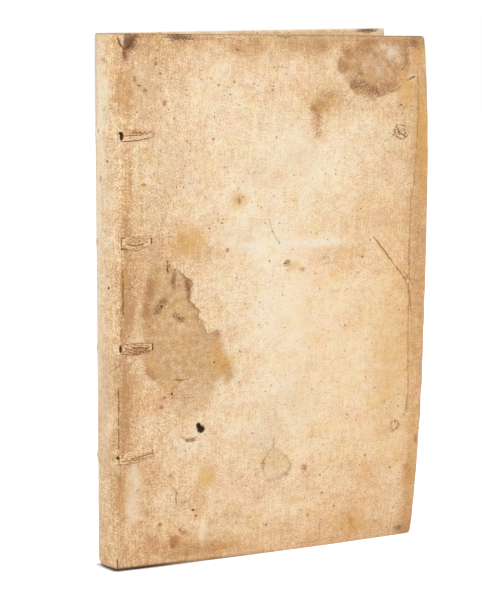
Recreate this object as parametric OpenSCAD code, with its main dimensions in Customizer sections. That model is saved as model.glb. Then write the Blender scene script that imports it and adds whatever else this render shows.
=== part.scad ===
// Folio book in a laced vellum binding, standing on its tail.
// Lengths are in millimetres. X runs from spine to fore edge, Y from front cover to rear cover, Z up.
// The origin is in the middle of the footprint, on the surface that the book stands on.

/* [Covers] */
// Height of the covers along the joint
cover_h = 330; // [280:5:380]
// Width of a cover, from joint to fore edge
cover_w = 220; // [190:5:250]
// Thickness of the vellum
vellum_t = 0.7; // [0.5:0.1:1]
// Thickness of the pasteboard inside a cover
board_t = 1.6; // [1.4:0.1:2.4]
// Thickness of the leaf pasted down inside a cover
pastedown_t = 0.3; // [0.2:0.1:0.6]
// Width of the vellum turned in over the board
turn_in_w = 12; // [9:0.5:16]
// Margin of turned-in vellum that the pasted leaf leaves bare
paste_margin = 5; // [3:0.5:8]
// Distance from the joint to the board
board_inset = 4.2; // [4:0.1:6]
// Angle by which each cover stands open at rest
splay = 4; // [3.5:0.5:7]
// Depth by which the fore-edge corners curl in
curl = 10; // [0:0.5:10]
// Rise of the rear cover's head at the fore edge
rear_rise = 5; // [0:0.5:6]

/* [Spine] */
// Width of the spine at the head
spine_head_w = 36; // [32:0.5:42]
// Width of the spine at the tail
spine_tail_w = 23; // [22:0.5:30]
// Depth of the spine's outward curve
spine_bulge = 4; // [3.8:0.1:4.6]
// Thickness of the linings between the thongs
lining_t = 0.5; // [0.3:0.1:0.8]

/* [Text block] */
// Margin by which the covers overhang the leaves at head and tail
square = 4.5; // [3:0.5:7]
// Margin by which the covers overhang the leaves at the fore edge
fore_square = 5; // [3:0.5:8]
// Swelling of each side of the leaves at the fore edge
swell = 3; // [0:0.5:3.5]
// Number of gatherings sewn together
gatherings = 14; // [8:1:20]
// Depth of the groove between two gatherings
groove = 0.8; // [0.2:0.1:1.2]
// Radius of the head and tail bands
band_r = 1.2; // [0.8:0.1:1.5]

/* [Sewing] */
// Number of thongs that the leaves are sewn on
thong_count = 4; // [3:1:5]
// Width of a thong
thong_w = 8; // [6:0.5:10]
// Thickness of a thong
thong_t = 1.8; // [1.2:0.1:2]
// Thickness of the sewing thread round a thong
thread_t = 0.5; // [0.3:0.1:0.6]
// Width of the turns of thread at one gathering
wrap_w = 0.8; // [0.4:0.1:0.9]
// Height from the tail to the lowest thong
tail_panel = 71.5; // [50:0.5:90]
// Distance from the head to the highest thong
head_panel = 61.5; // [45:0.5:85]

/* [Lacing] */
// Thickness of a slip where it lies on the cover
slip_t = 1.5; // [1.2:0.1:1.8]
// Width of a slip at the joint
slip_root_w = 8.4; // [7:0.2:10]
// Width of a slip where it goes back in
slip_tip_w = 3.8; // [3:0.2:6]
// Distance from the joint to where a slip goes back in
slip_reach = 24; // [20:0.5:32]
// Length of the slip's hidden tail in the board
slip_tail = 11; // [6:0.5:16]

/* [Ties] */
// Radius of a broken-off tie's stub
tie_r = 2; // [1.4:0.1:2.6]
// Height of a stub above the cover
tie_proud = 0.9; // [0.4:0.1:1.5]
// Distance from the fore edge to the upper tie
tie_upper_inset = 23.5; // [20:0.5:30]
// Distance from the fore edge to the lower tie
tie_lower_inset = 20; // [20:0.5:30]
// Distance from the head to the upper tie
tie_upper_drop = 61; // [50:1:90]
// Distance from the tail to the lower tie
tie_lower_rise = 78; // [50:1:90]

/* [Hidden] */
// Gap between cover edge and spine edge, along the joint
joint_gap = 0.4;
// Gap between a piece and the hole or slit that it sits in
seat = 0.3;
// Thickness of a glue line
glue = 0.05;
// Free space between leaves and cover at the joint
block_gap = 0.6;
// Play between the spine vellum and the thread
spine_play = 0.2;
// Growth of the curl across the cover and along it
curl_power_u = 2.5;
curl_power_z = 3;
// Share of the leaves' back that linings, thread and bands cover
back_share = 0.96;

cover_t = 2 * vellum_t + board_t + pastedown_t;
board_v = vellum_t + board_t;
fall_w = turn_in_w + pastedown_t;
lean = atan((spine_head_w - spine_tail_w) / 2 / cover_h);
reach = cover_w * cos(splay) + (cover_t + curl) * sin(splay);
x_mid = (reach - spine_bulge) / 2;
thong_depth = vellum_t + spine_play + thread_t;
block_depth = thong_depth + thong_t;
thong_pitch = (cover_h - head_panel - tail_panel) / (thong_count - 1);
slip_u = joint_gap + seat + slip_t / 2;
slip_root_v = vellum_t + 1;
slip_tail_v = vellum_t + board_t / 2;

// Height of thong n, counted from the head
function thong_z(n) = cover_h - head_panel - (n - 1) * thong_pitch;

// Even steps from a to b
function steps(a, b, n) = [for (i = [0:n]) a + (b - a) * i / n];

// Half the spine's outer width at height z
function half_w(z) = (spine_tail_w + (spine_head_w - spine_tail_w) * z / cover_h) / 2;

// Half the leaves' thickness at the spine
function half_block(z) = half_w(z) - cover_t - block_gap;

// Radius of the spine's outer curve, and its centre's distance from the joint
function arc_r(z) = (pow(half_w(z), 2) + pow(spine_bulge, 2)) / (2 * spine_bulge);
function arc_x(z) = arc_r(z) - spine_bulge;

// Point at depth d under the spine's outer curve, at distance y from the middle
function under_spine(d, y, z) = [arc_x(z) - sqrt(pow(arc_r(z) - d, 2) - y * y), y, z];

// The same at share f of an even spread along the curve, which ends at distance y_end
function along_spine(d, f, y_end, z) = under_spine(d, (arc_r(z) - d) * sin(f * asin(y_end / (arc_r(z) - d))), z);

// Depth by which the cover's surface curls in at a point
function curl_at(u, z) = curl * pow(u / cover_w, curl_power_u) * pow(abs(2 * z / cover_h - 1), curl_power_z);

// Two triangles on the corners a, b, c and d, turned over if flip is true
function quad(a, b, c, d, flip) = flip ? [[a, b, c], [a, c, d]] : [[a, d, c], [a, c, b]];

// Solid made of the lattice cells whose centre satisfies inside(), each corner placed by place()
module lattice(us, vs, ws, inside, place) {
    nu = len(us);
    nv = len(vs);
    nw = len(ws);
    point = function (i, j, k) (i * nv + j) * nw + k;
    middle = function (list, i) (list[i] + list[i + 1]) / 2;
    within = function (i, j, k) i >= 0 && j >= 0 && k >= 0 && i < nu - 1 && j < nv - 1 && k < nw - 1;
    full = function (i, j, k) within(i, j, k) && inside(middle(us, i), middle(vs, j), middle(ws, k));
    u_face = function (i, j, k, low)
        quad(point(i, j, k), point(i, j + 1, k), point(i, j + 1, k + 1), point(i, j, k + 1), low);
    v_face = function (i, j, k, low)
        quad(point(i, j, k), point(i, j, k + 1), point(i + 1, j, k + 1), point(i + 1, j, k), low);
    w_face = function (i, j, k, low)
        quad(point(i, j, k), point(i + 1, j, k), point(i + 1, j + 1, k), point(i, j + 1, k), low);
    faces = [
        for (i = [0:nu - 2], j = [0:nv - 2], k = [0:nw - 2]) if (full(i, j, k)) each [
            if (!full(i - 1, j, k)) each u_face(i, j, k, true),
            if (!full(i + 1, j, k)) each u_face(i + 1, j, k, false),
            if (!full(i, j - 1, k)) each v_face(i, j, k, true),
            if (!full(i, j + 1, k)) each v_face(i, j + 1, k, false),
            if (!full(i, j, k - 1)) each w_face(i, j, k, true),
            if (!full(i, j, k + 1)) each w_face(i, j, k + 1, false)
        ]
    ];
    polyhedron(points = [for (u = us, v = vs, w = ws) place(u, v, w)], faces = faces);
}

// Moves the joint line's frame to the book's frame
module in_book() {
    translate([-x_mid, 0, 0]) children();
}

// Hangs a cover's pieces, drawn as u, v, z from the joint, on the front or the rear joint
module on_cover(side) {
    in_book()
        mirror([0, side == "rear" ? 1 : 0, 0])
            translate([0, -half_w(0), 0])
                rotate([lean, 0, 0])
                    rotate([0, 0, -splay])
                        children();
}

// Leaves: folded gatherings with a rounded back, swollen towards the fore edge
module text_block() {
    fold_shares = [0, 0.12, 0.5, 0.88];
    across = concat([for (g = [0:gatherings - 1], s = fold_shares) g + s], [gatherings]);
    fore_x = cover_w - fore_square;
    dip = function (g) groove * pow(abs(cos(180 * g)), 6);
    place = function (u, g, z)
        let (
            f = 2 * g / gatherings - 1,
            back = under_spine(block_depth + dip(g), f * half_block(z), z),
            fore = [fore_x - dip(g) / 2, f * (half_block(z) + swell), z]
        )
        back + (fore - back) * u;
    color("wheat")
        in_book()
            lattice([0, 0.05, 0.5, 1], across, steps(square, cover_h - square, 2), function (u, g, z) true, place);
}

// Vellum over the spine, with its ends turned in at head and tail
module spine_vellum() {
    heights = concat([0, turn_in_w], steps(turn_in_w, cover_h - turn_in_w, 5), [cover_h - turn_in_w, cover_h]);
    clean = [for (i = [0:len(heights) - 1]) if (i == 0 || heights[i] > heights[i - 1]) heights[i]];
    inside = function (d, f, z) d < vellum_t || min(z, cover_h - z) < turn_in_w;
    place = function (d, f, z)
        let (y_end = sqrt(pow(arc_r(z) - d, 2) - pow(arc_x(z) + seat, 2)))
        along_spine(d, f, y_end, z);
    color("burlywood")
        in_book()
            lattice([0, vellum_t, 2 * vellum_t], steps(-1, 1, 14), clean, inside, place);
}

// Alum-tawed thong that the gatherings are sewn on, from slit to slit across the back
module thong(n) {
    y_end = half_w(thong_z(n)) - slip_root_v - seat;
    place = function (d, f, z) along_spine(d, f, y_end, thong_z(n)) + [0, 0, z];
    color("tan")
        in_book()
            lattice([thong_depth, block_depth - glue], steps(-1, 1, 14), [-thong_w / 2, thong_w / 2],
                function (d, f, z) true, place);
}

// Sewing thread: a wrap over each thong at every gathering, with a leg on each side
module sewing_thread() {
    wrap_h = thong_w + 2 * thread_t;
    wrap_d = block_depth - glue - vellum_t - spine_play;
    for (n = [1:thong_count], g = [1:gatherings]) {
        z = thong_z(n);
        radius = arc_r(z) - block_depth;
        turn = asin((2 * g - 1 - gatherings) / gatherings * half_block(z) * back_share / radius);
        color("ivory")
            in_book()
                translate([arc_x(z), 0, z])
                    rotate([0, 0, turn])
                        difference() {
                            translate([-radius - glue - wrap_d, -wrap_w / 2, -wrap_h / 2])
                                cube([wrap_d, wrap_w, wrap_h]);
                            translate([-radius - thong_t - glue, -wrap_w, -thong_w / 2])
                                cube([block_depth, 2 * wrap_w, thong_w]);
                        }
    }
}

// Lining pasted on the back of the leaves, in the n-th panel from the head
module spine_lining(n) {
    clear = thong_w / 2 + thread_t + 1;
    top = n == 1 ? cover_h - square - 1 : thong_z(n - 1) - clear;
    bottom = n == thong_count + 1 ? square + 1 : thong_z(n) + clear;
    place = function (d, f, z) along_spine(d, f, half_block(z) * back_share, z);
    color("antiquewhite")
        in_book()
            lattice([block_depth - lining_t, block_depth - glue], steps(-1, 1, 10), [bottom, top],
                function (d, f, z) true, place);
}

// Band worked on a core along the back edge of the leaves, resting on them at height z
module endband(z, outward) {
    radius = arc_r(z) - block_depth - groove - band_r;
    half_angle = asin(half_block(z) * back_share / (arc_r(z) - block_depth));
    color("beige")
        in_book()
            translate([arc_x(z), 0, z + outward * (band_r + glue)])
                rotate([0, 0, 180 - half_angle])
                    rotate_extrude(angle = 2 * half_angle, $fn = 96)
                        translate([radius, 0])
                            circle(r = band_r, $fn = 24);
}

// Lattice of a whole cover, from which each layer takes its cells; its tail edge stays level
module cover_layer(side, inside) {
    rise = side == "rear" ? rear_rise : 0;
    us = concat([joint_gap], steps(board_inset, cover_w - fall_w, 5),
        [cover_w - turn_in_w, cover_w - paste_margin, cover_w - vellum_t, cover_w]);
    vs = [0, vellum_t, board_v, board_v + pastedown_t, board_v + vellum_t, cover_t];
    zs = concat([0, vellum_t, paste_margin, turn_in_w], steps(fall_w, cover_h - fall_w, 9),
        [cover_h - turn_in_w, cover_h - paste_margin, cover_h - vellum_t, cover_h]);
    upright = function (u, v) (u * sin(splay) - v * cos(splay)) * tan(lean);
    place = function (u, v, z)
        let (curled = v + curl_at(u, z))
        [u, curled, z * (1 + rise / cover_h * u / cover_w) + upright(u, curled)];
    lattice(us, vs, zs, inside, place);
}

// Distance from a cover's nearest turned edge
function from_edge(u, z) = min(z, cover_h - z, cover_w - u);

// Distance from the joint and height of the upper or the lower tie
function tie_u(place) = cover_w - (place == "upper" ? tie_upper_inset : tie_lower_inset);
function tie_z(place) = place == "upper" ? cover_h - tie_upper_drop : tie_lower_rise;

// Holes through a cover for the two ties
module tie_holes() {
    for (place = ["upper", "lower"])
        translate([tie_u(place), -curl, tie_z(place)])
            rotate([-90, 0, 0])
                cylinder(r = tie_r + seat, h = cover_t + 2 * curl + 2, $fn = 32);
}

// Slit for a slip of the given width, from distance u on
module slit(u, length, width, depth, n) {
    clear_w = width + 2 * seat;
    translate([u, -1, thong_z(n) - clear_w / 2])
        cube([length, depth + 1, clear_w]);
}

// Where the slit at a slip's tip starts
function tip_slit() = slip_reach - slip_t;

// Skin of a cover, turned in round the board on three sides
module cover_vellum(side) {
    inside = function (u, v, z)
        v < vellum_t
        || (v < board_v && from_edge(u, z) < vellum_t)
        || (v > board_v && v < board_v + vellum_t && from_edge(u, z) < turn_in_w);
    color("burlywood")
        on_cover(side)
            difference() {
                cover_layer(side, inside);
                for (n = [1:thong_count]) {
                    slit(0, slip_u + 1.4 * slip_t, slip_root_w, vellum_t + 0.5, n);
                    slit(tip_slit(), 2.2 * slip_t, slip_tip_w, vellum_t + 0.5, n);
                }
                tie_holes();
            }
}

// Pasteboard that stiffens a cover, slotted for the tails of the slips
module cover_board(side) {
    inside = function (u, v, z)
        v > vellum_t && v < board_v && u > board_inset && from_edge(u, z) > vellum_t;
    color("peru")
        on_cover(side)
            difference() {
                cover_layer(side, inside);
                for (n = [1:thong_count])
                    slit(tip_slit(), slip_t + slip_tail + 2 * seat, slip_tip_w, cover_t, n);
                tie_holes();
            }
}

// Leaf pasted on the board, which steps up over the turn-ins
module cover_pastedown(side) {
    inside = function (u, v, z)
        u > board_inset && v > board_v && from_edge(u, z) > (v > board_v + vellum_t ? paste_margin : turn_in_w)
        && (v < board_v + pastedown_t || from_edge(u, z) < fall_w);
    color("linen")
        on_cover(side)
            difference() {
                cover_layer(side, inside);
                tie_holes();
            }
}

// Stub of a tie that has broken off, filling its hole
module tie(side, place) {
    v = curl_at(tie_u(place), tie_z(place)) - tie_proud;
    color("tan")
        on_cover(side)
            translate([tie_u(place), v, tie_z(place)])
                rotate([-90, 0, 0])
                    cylinder(r = tie_r, h = cover_t + tie_proud, $fn = 32);
}

// Slip laced through the cover: out of the slit at the joint, along the skin and back into the board
module slip(side, n) {
    share = function (u) min(1, max(0, (u - slip_u) / (slip_reach - slip_u)));
    half_t = function (u) slip_t * (1 - share(u) / 3) / 2;
    on_skin = steps(slip_u + 2 * slip_t, slip_reach - 2 * slip_t, 4);
    path = concat(
        [[slip_u, slip_root_v], [slip_u, vellum_t / 4], [slip_u + 0.6 * slip_t, -slip_t / 2]],
        [for (u = on_skin) [u, -half_t(u) - glue]],
        [[slip_reach - slip_t, -half_t(slip_reach)], [slip_reach, vellum_t / 4],
            [slip_reach + slip_t, slip_tail_v], [slip_reach + slip_tail, slip_tail_v]]
    );
    last = len(path) - 1;
    heading = function (s) path[min(s + 1, last)] - path[max(s - 1, 0)];
    dome = function (w) 1 - 0.45 * w * w;
    place = function (s, side_v, w)
        let (
            u = path[s][0],
            along = heading(s) / norm(heading(s)),
            lift = side_v < 0 ? -half_t(u) * dome(w) : half_t(u),
            half_width = (slip_root_w + (slip_tip_w - slip_root_w) * share(u)) / 2
        )
        [u - along[1] * lift, path[s][1] + along[0] * lift, thong_z(n) + w * half_width];
    color("tan")
        on_cover(side)
            lattice(steps(0, last, last), [-1, 1], steps(-1, 1, 4), function (s, side_v, w) true, place);
}

text_block();
spine_vellum();
sewing_thread();
endband(cover_h - square, 1);  // headband
endband(square, -1);  // tailband
for (n = [1:thong_count])
    thong(n);
for (n = [1:thong_count + 1])
    spine_lining(n);
for (side = ["front", "rear"]) {
    cover_vellum(side);
    cover_board(side);
    cover_pastedown(side);
    tie(side, "upper");
    tie(side, "lower");
    for (n = [1:thong_count])
        slip(side, n);
}
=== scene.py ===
"""Looks of a folio book in a laced vellum binding. Lengths are in millimetres until a mesh is made."""
import math

import bpy
import numpy as np
from mathutils import Matrix, Vector


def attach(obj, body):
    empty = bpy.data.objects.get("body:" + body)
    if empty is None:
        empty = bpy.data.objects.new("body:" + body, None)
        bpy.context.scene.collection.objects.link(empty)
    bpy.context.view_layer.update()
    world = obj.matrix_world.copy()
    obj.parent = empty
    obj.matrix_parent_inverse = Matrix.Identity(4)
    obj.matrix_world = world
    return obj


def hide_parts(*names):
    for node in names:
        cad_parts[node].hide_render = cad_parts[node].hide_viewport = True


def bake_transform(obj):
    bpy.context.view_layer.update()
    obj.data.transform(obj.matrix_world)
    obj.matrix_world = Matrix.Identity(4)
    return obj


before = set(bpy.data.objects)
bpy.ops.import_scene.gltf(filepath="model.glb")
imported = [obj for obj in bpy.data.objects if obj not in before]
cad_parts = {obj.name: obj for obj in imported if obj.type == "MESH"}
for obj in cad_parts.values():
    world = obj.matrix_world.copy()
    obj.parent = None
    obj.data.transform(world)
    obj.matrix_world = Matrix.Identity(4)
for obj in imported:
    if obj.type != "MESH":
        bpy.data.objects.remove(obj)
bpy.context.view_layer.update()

MM = 0.001

# Driving sizes of the binding, as in the solids
COVER_H = 330.0
COVER_W = 220.0
SPINE_HEAD_W = 36.0
SPINE_TAIL_W = 23.0
SPINE_BULGE = 4.0
SPLAY = math.radians(4.0)
CURL = 10.0
REAR_RISE = 5.0
VELLUM_T = 0.7
BOARD_T = 1.6
PASTEDOWN_T = 0.3
TURN_IN_W = 12.0
PASTE_MARGIN = 5.0
BOARD_INSET = 4.2
SQUARE = 4.5
FORE_SQUARE = 5.0
SWELL = 3.0
GATHERINGS = 14
GROOVE = 0.8
BLOCK_GAP = 0.6
BLOCK_DEPTH = 3.2
BAND_R = 1.2
THONG_ZS = (268.5, 202.8, 137.2, 71.5)
TIES = {"upper": (196.5, 269.0), "lower": (200.0, 78.0)}

COVER_T = 2 * VELLUM_T + BOARD_T + PASTEDOWN_T
LEAN = math.atan((SPINE_HEAD_W - SPINE_TAIL_W) / 2 / COVER_H)
REACH = COVER_W * math.cos(SPLAY) + (COVER_T + CURL) * math.sin(SPLAY)
X_MID = (REACH - SPINE_BULGE) / 2
JOINT_X = -X_MID

# The skin at the joint: how far it is rounded, and how much of it lies on the spine
FOLD_R = 2.2
SPINE_LAP = 3.0
SKIN_T = 0.6
JOINT_PULL = {"front": 0.2, "rear": 0.8}
SPINE_EDGE_R = 0.75

# Slits for the slips: from where to where beside the joint, and how far inside a slip's edges
SLIT_SPAN = (0.2, 2.2)
SLIT_INSET = 0.6


def smooth(x, low, high):
    """0 below low, 1 above high, and a smooth step between."""
    t = np.clip((x - low) / (high - low), 0.0, 1.0)
    return t * t * (3 - 2 * t)


def waves(x, y, length, seed):
    """Smooth random relief from -1 to 1 with bumps about that length."""
    rng = np.random.default_rng(seed)
    total = 0.0
    for k in range(6):
        angle = rng.uniform(0, 2 * math.pi)
        step = 2 * math.pi / (length * rng.uniform(0.7, 1.5))
        phase = rng.uniform(0, 2 * math.pi)
        total = total + np.sin((x * math.cos(angle) + y * math.sin(angle)) * step + phase)
    return total / 3.5


def half_w(z):
    """Half the spine's width."""
    return (SPINE_TAIL_W + (SPINE_HEAD_W - SPINE_TAIL_W) * z / COVER_H) / 2


def arc_r(z):
    """Radius of the spine's outer curve."""
    return (half_w(z) ** 2 + SPINE_BULGE ** 2) / (2 * SPINE_BULGE)


def half_block(z):
    """Half the thickness of the leaves at their back."""
    return half_w(z) - COVER_T - BLOCK_GAP


def under_spine(d, y, z):
    """Point at depth d under the spine's curve, at distance y from the middle."""
    x = arc_r(z) - SPINE_BULGE - np.sqrt((arc_r(z) - d) ** 2 - y ** 2) - X_MID
    return np.stack([x, y + 0 * z, z + 0 * y], -1)


def spine_point(d, along, z):
    """The same, at a distance along the spine's outer curve from the front joint."""
    radius = arc_r(z)
    turn = np.arcsin(half_w(z) / radius) - along / radius
    return under_spine(d, -(radius - d) * np.sin(turn), z)


def spine_length(z):
    """Length of the spine's outer curve."""
    return 2 * arc_r(z) * np.arcsin(half_w(z) / arc_r(z))


def cover_point(side, u, v, z):
    """Point of a cover: u from the joint, v inward from the outer face, z up."""
    u, v, z = np.broadcast_arrays(u, v, z)
    rise = REAR_RISE if side == "rear" else 0.0
    share = np.clip(u, 0, None) / COVER_W
    curled = v + CURL * share ** 2.5 * np.abs(2 * z / COVER_H - 1) ** 3
    level = z * (1 + rise / COVER_H * share)
    level = level + (u * math.sin(SPLAY) - curled * math.cos(SPLAY)) * math.tan(LEAN)
    x = u * math.cos(SPLAY) + curled * math.sin(SPLAY) - X_MID
    flat_y = curled * math.cos(SPLAY) - u * math.sin(SPLAY)
    y = flat_y * math.cos(LEAN) - level * math.sin(LEAN) - SPINE_TAIL_W / 2
    up = flat_y * math.sin(LEAN) + level * math.cos(LEAN)
    return np.stack([x, y if side == "front" else -y, up], -1)


def skin_face(side, s, z):
    """Point of the vellum's outer face and the direction into the book, s from the joint along the skin."""
    s, z = np.broadcast_arrays(np.asarray(s, float), np.asarray(z, float))
    flip = np.array([1.0, 1.0 if side == "front" else -1.0, 1.0])

    def spread(at):
        on_cover = cover_point(side, np.clip(at, 0, None), 0.0, z)
        on_spine = spine_point(0.0, np.clip(-at, 0, None), z) * flip
        return np.where((at >= 0)[..., None], on_cover, on_spine)

    t = np.clip((s + FOLD_R) / (2 * FOLD_R), 0, 1)[..., None]
    before = spread(np.minimum(s, -FOLD_R))
    after = spread(np.maximum(s, FOLD_R))
    corner = spread(0 * s)
    point = (1 - t) ** 2 * before + 2 * t * (1 - t) * corner + t ** 2 * after
    in_cover = cover_point(side, np.maximum(s, 0.0), 1.0, z) - cover_point(side, np.maximum(s, 0.0), 0.0, z)
    lap = np.clip(-s, 0, None)
    in_spine = (spine_point(1.0, lap, z) - spine_point(0.0, lap, z)) * flip
    inward = in_spine + (in_cover - in_spine) * smooth(s, -FOLD_R, FOLD_R)[..., None]
    return point, inward / np.linalg.norm(inward, axis=-1, keepdims=True)


def new_object(name, points, faces, fields=None, material=None):
    """Mesh object from points in millimetres, with one vector attribute per field."""
    mesh = bpy.data.meshes.new(name)
    mesh.from_pydata((np.asarray(points) * MM).tolist(), [], [list(map(int, f)) for f in faces])
    for field, values in (fields or {}).items():
        layer = mesh.attributes.new(field, "FLOAT_VECTOR", "POINT")
        layer.data.foreach_set("vector", np.asarray(values, np.float32).ravel())
    mesh.polygons.foreach_set("use_smooth", [True] * len(mesh.polygons))
    mesh.validate()
    mesh.update()
    made = bpy.data.objects.new(name, mesh)
    bpy.context.scene.collection.objects.link(made)
    if material:
        mesh.materials.append(material)
    return made


def grid(rows, columns, start=0):
    """Indices of the points of a grid."""
    return start + np.arange(rows * columns).reshape(rows, columns)


def ring_grid(rows, around, start=0):
    """The same for a grid that closes on itself."""
    index = grid(rows, around, start)
    return np.hstack([index, index[:, :1]])


def quads(index, flip=False, keep=None):
    """Faces between the points of a grid, or those of them to keep."""
    faces = np.stack([index[:-1, :-1], index[1:, :-1], index[1:, 1:], index[:-1, 1:]], -1)
    if flip:
        faces = faces[..., ::-1]
    return faces.reshape(-1, 4) if keep is None else faces[keep]


def apply_modifiers(made):
    """Bakes an object's modifiers into its mesh."""
    bpy.context.view_layer.update()
    graph = bpy.context.evaluated_depsgraph_get()
    mesh = bpy.data.meshes.new_from_object(made.evaluated_get(graph), depsgraph=graph)
    made.modifiers.clear()
    made.data = mesh
    return made


def solidify(made, thickness):
    """Gives a sheet its thickness, on the side away from its faces."""
    wall = made.modifiers.new("wall", "SOLIDIFY")
    wall.thickness = thickness * MM
    wall.offset = -1.0
    wall.use_even_offset = False
    return apply_modifiers(made)


def spaced(stops):
    """Positions from (end, step) pairs, beginning at the first stop's end."""
    values = [stops[0][0]]
    for end, step in stops[1:]:
        count = max(1, round((end - values[-1]) / step))
        values += list(np.linspace(values[-1], end, count + 1)[1:])
    return np.array(values)


def snapped(values, wanted):
    """The positions, with the nearest one moved onto each wanted value."""
    values = values.copy()
    for value in wanted:
        values[np.abs(values - value).argmin()] = value
    return values


def edge_distance(s, z):
    """Distance from the nearest free edge of a cover."""
    return np.minimum(np.minimum(z, COVER_H - z), COVER_W - s)


# Slips as they lie on the front cover: root low and high, middle low and high, tip low and high
SLIP_ZS = {
    1: ((264.7, 272.3), (265.9, 272.8), (267.9, 271.2)),
    2: ((199.3, 207.8), (198.9, 208.2), (202.5, 207.4)),
    3: ((135.6, 142.0), (134.6, 142.3), (137.1, 141.7)),
    4: ((66.6, 73.8), (67.4, 75.5), (71.5, 75.0)),
}
SLIP_ROOT = 0.9
SLIP_TIP = {1: 21.8, 2: 21.4, 3: 23.0, 4: 23.9}


def slip_span(n, share):
    """Lowest and highest height of slip n at a share of its length."""
    (a, b), (c, d), (e, f) = SLIP_ZS[n]
    low = np.interp(share, [0, 0.5, 1], [a, c, e])
    high = np.interp(share, [0, 0.5, 1], [b, d, f])
    return low, high


def near_slips(s, z, margin):
    """1 on and round the slips, falling to 0 at a margin from them."""
    total = 0 * s
    for n in SLIP_ZS:
        share = np.clip((s - SLIP_ROOT) / (SLIP_TIP[n] - SLIP_ROOT), 0, 1)
        low, high = slip_span(n, share)
        out_z = np.maximum(np.maximum(low - z, z - high), 0)
        out_s = np.maximum(np.maximum(-0.5 - s, s - SLIP_TIP[n] - 1.5), 0)
        total = np.maximum(total, 1 - smooth(np.hypot(out_z, out_s), 0.0, margin))
    return total


def spine_bumps(s, z):
    """Outward swelling of the vellum over the thongs, s from the joint and negative on the spine."""
    across = smooth(-s, 0.5, 7.0)
    total = 0 * s
    for k, middle in enumerate(THONG_ZS):
        off = z - middle + 0.6 * np.sin(s * 0.35 + k)
        total = total + (0.85 + 0.15 * math.cos(2.1 * k)) * np.exp(-(off / 4.2) ** 2)
        total = total - 0.3 * np.exp(-((np.abs(off) - 9.5) / 3.5) ** 2)
    return total * across


def skin_relief(side, s, z):
    """Outward relief of the vellum, in millimetres."""
    seed = 11 if side == "front" else 47
    on_cover = smooth(s, 3.0, 14.0)
    cockle = 0.26 * waves(s, z, 75, seed) + 0.07 * waves(s, z, 17, seed + 1)
    fine = 0.02 * waves(s, z, 6, seed + 2)
    over_turn_in = 0.12 * (1 - smooth(edge_distance(s, z), 11.0, 13.0)) * smooth(s, 5, 9)
    calm = 1 - near_slips(s, z, 4.0)
    rolled = np.where(s < 0, 0.16 * waves(s * 1.6, z * 0.4, 13, 5), 0.0) * smooth(-s, 0.5, 6.0)
    relief = ((cockle + over_turn_in) * on_cover + fine + rolled) * calm
    return relief + np.where(s < 0, spine_bumps(s, z), 0.0)


def end_pull(s, z, at_joint):
    """Inward pull of the spine's worn ends, in millimetres."""
    low = np.clip(1 - z / 5.5, 0, 1)
    high = np.clip(1 - (COVER_H - z) / 4.0, 0, 1)
    share = at_joint + (1 - at_joint) * smooth(-s, 1.0, 10.0) - at_joint * smooth(s, 0.0, 12.0)
    return (5.5 * (1 - np.sqrt(1 - low ** 2)) + 0.8 * high ** 2) * share


def skin_points(side, s, z, depth):
    """Places sheet points, s along the skin, z up and depth under its outer face."""
    point, inward = skin_face(side, s, z)
    point = point + inward * (depth - skin_relief(side, s, z))[..., None]
    point[..., 0] += end_pull(s, z, JOINT_PULL[side])
    return point


def worn_corner(s, z, radius):
    """Rounds the fore corners of a cover by a radius."""
    for corner in (0.0, COVER_H):
        ds = s - (COVER_W - radius)
        dz = (z - corner) * (1 if corner == 0.0 else -1)
        inside = radius - dz
        far = np.hypot(ds, inside)
        outer = np.maximum(ds, inside)
        hit = (ds > 0) & (inside > 0) & (far > 1e-6)
        pull = np.where(hit, outer / np.where(far > 1e-6, far, 1), 1.0)
        s = np.where(hit, COVER_W - radius + ds * pull, s)
        new_dz = radius - inside * pull
        z = np.where(hit, corner + new_dz * (1 if corner == 0.0 else -1), z)
    return s, z


def rounded_rows(rows, steps, inset):
    """Heights of rows between two rounded edges, and how far round each row is, from -1 to 1."""
    count = len(steps) - 1
    heights = np.concatenate([[inset] * count, rows, [COVER_H - inset] * count])
    return heights, np.concatenate([-steps[:0:-1], 0 * rows, steps[1:]])


def rounded_ends(z, turn, radius):
    """Heights, with those of the edges rounded by a radius."""
    z = np.where(turn < 0, radius * (1 + turn), z)
    return np.where(turn > 0, COVER_H - radius * (1 - turn), z)


def folded_skin(name, side, faces_out, faces_in, sheets, rim, flap, hole):
    """Skin from the points of its outer face and those of its turn-ins, which meet at the rim."""
    index = grid(*rim.shape)
    under = np.where(rim, index, index + rim.size)
    front = side == "front"
    faces = np.concatenate([quads(index, front, ~hole), quads(under, not front, flap)])
    points = np.concatenate([faces_out.reshape(-1, 3), faces_in.reshape(-1, 3)])
    sheet = np.concatenate([place.reshape(-1, 3) for place in sheets])
    used, faces = np.unique(faces, return_inverse=True)
    fields = stain_fields(side, sheet[used])
    return solidify(new_object(name, points[used], faces.reshape(-1, 4), fields, parchment), SKIN_T)


def middles(values):
    """Values at the middles of a grid's faces."""
    return (values[1:, 1:] + values[:-1, :-1]) / 2


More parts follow.
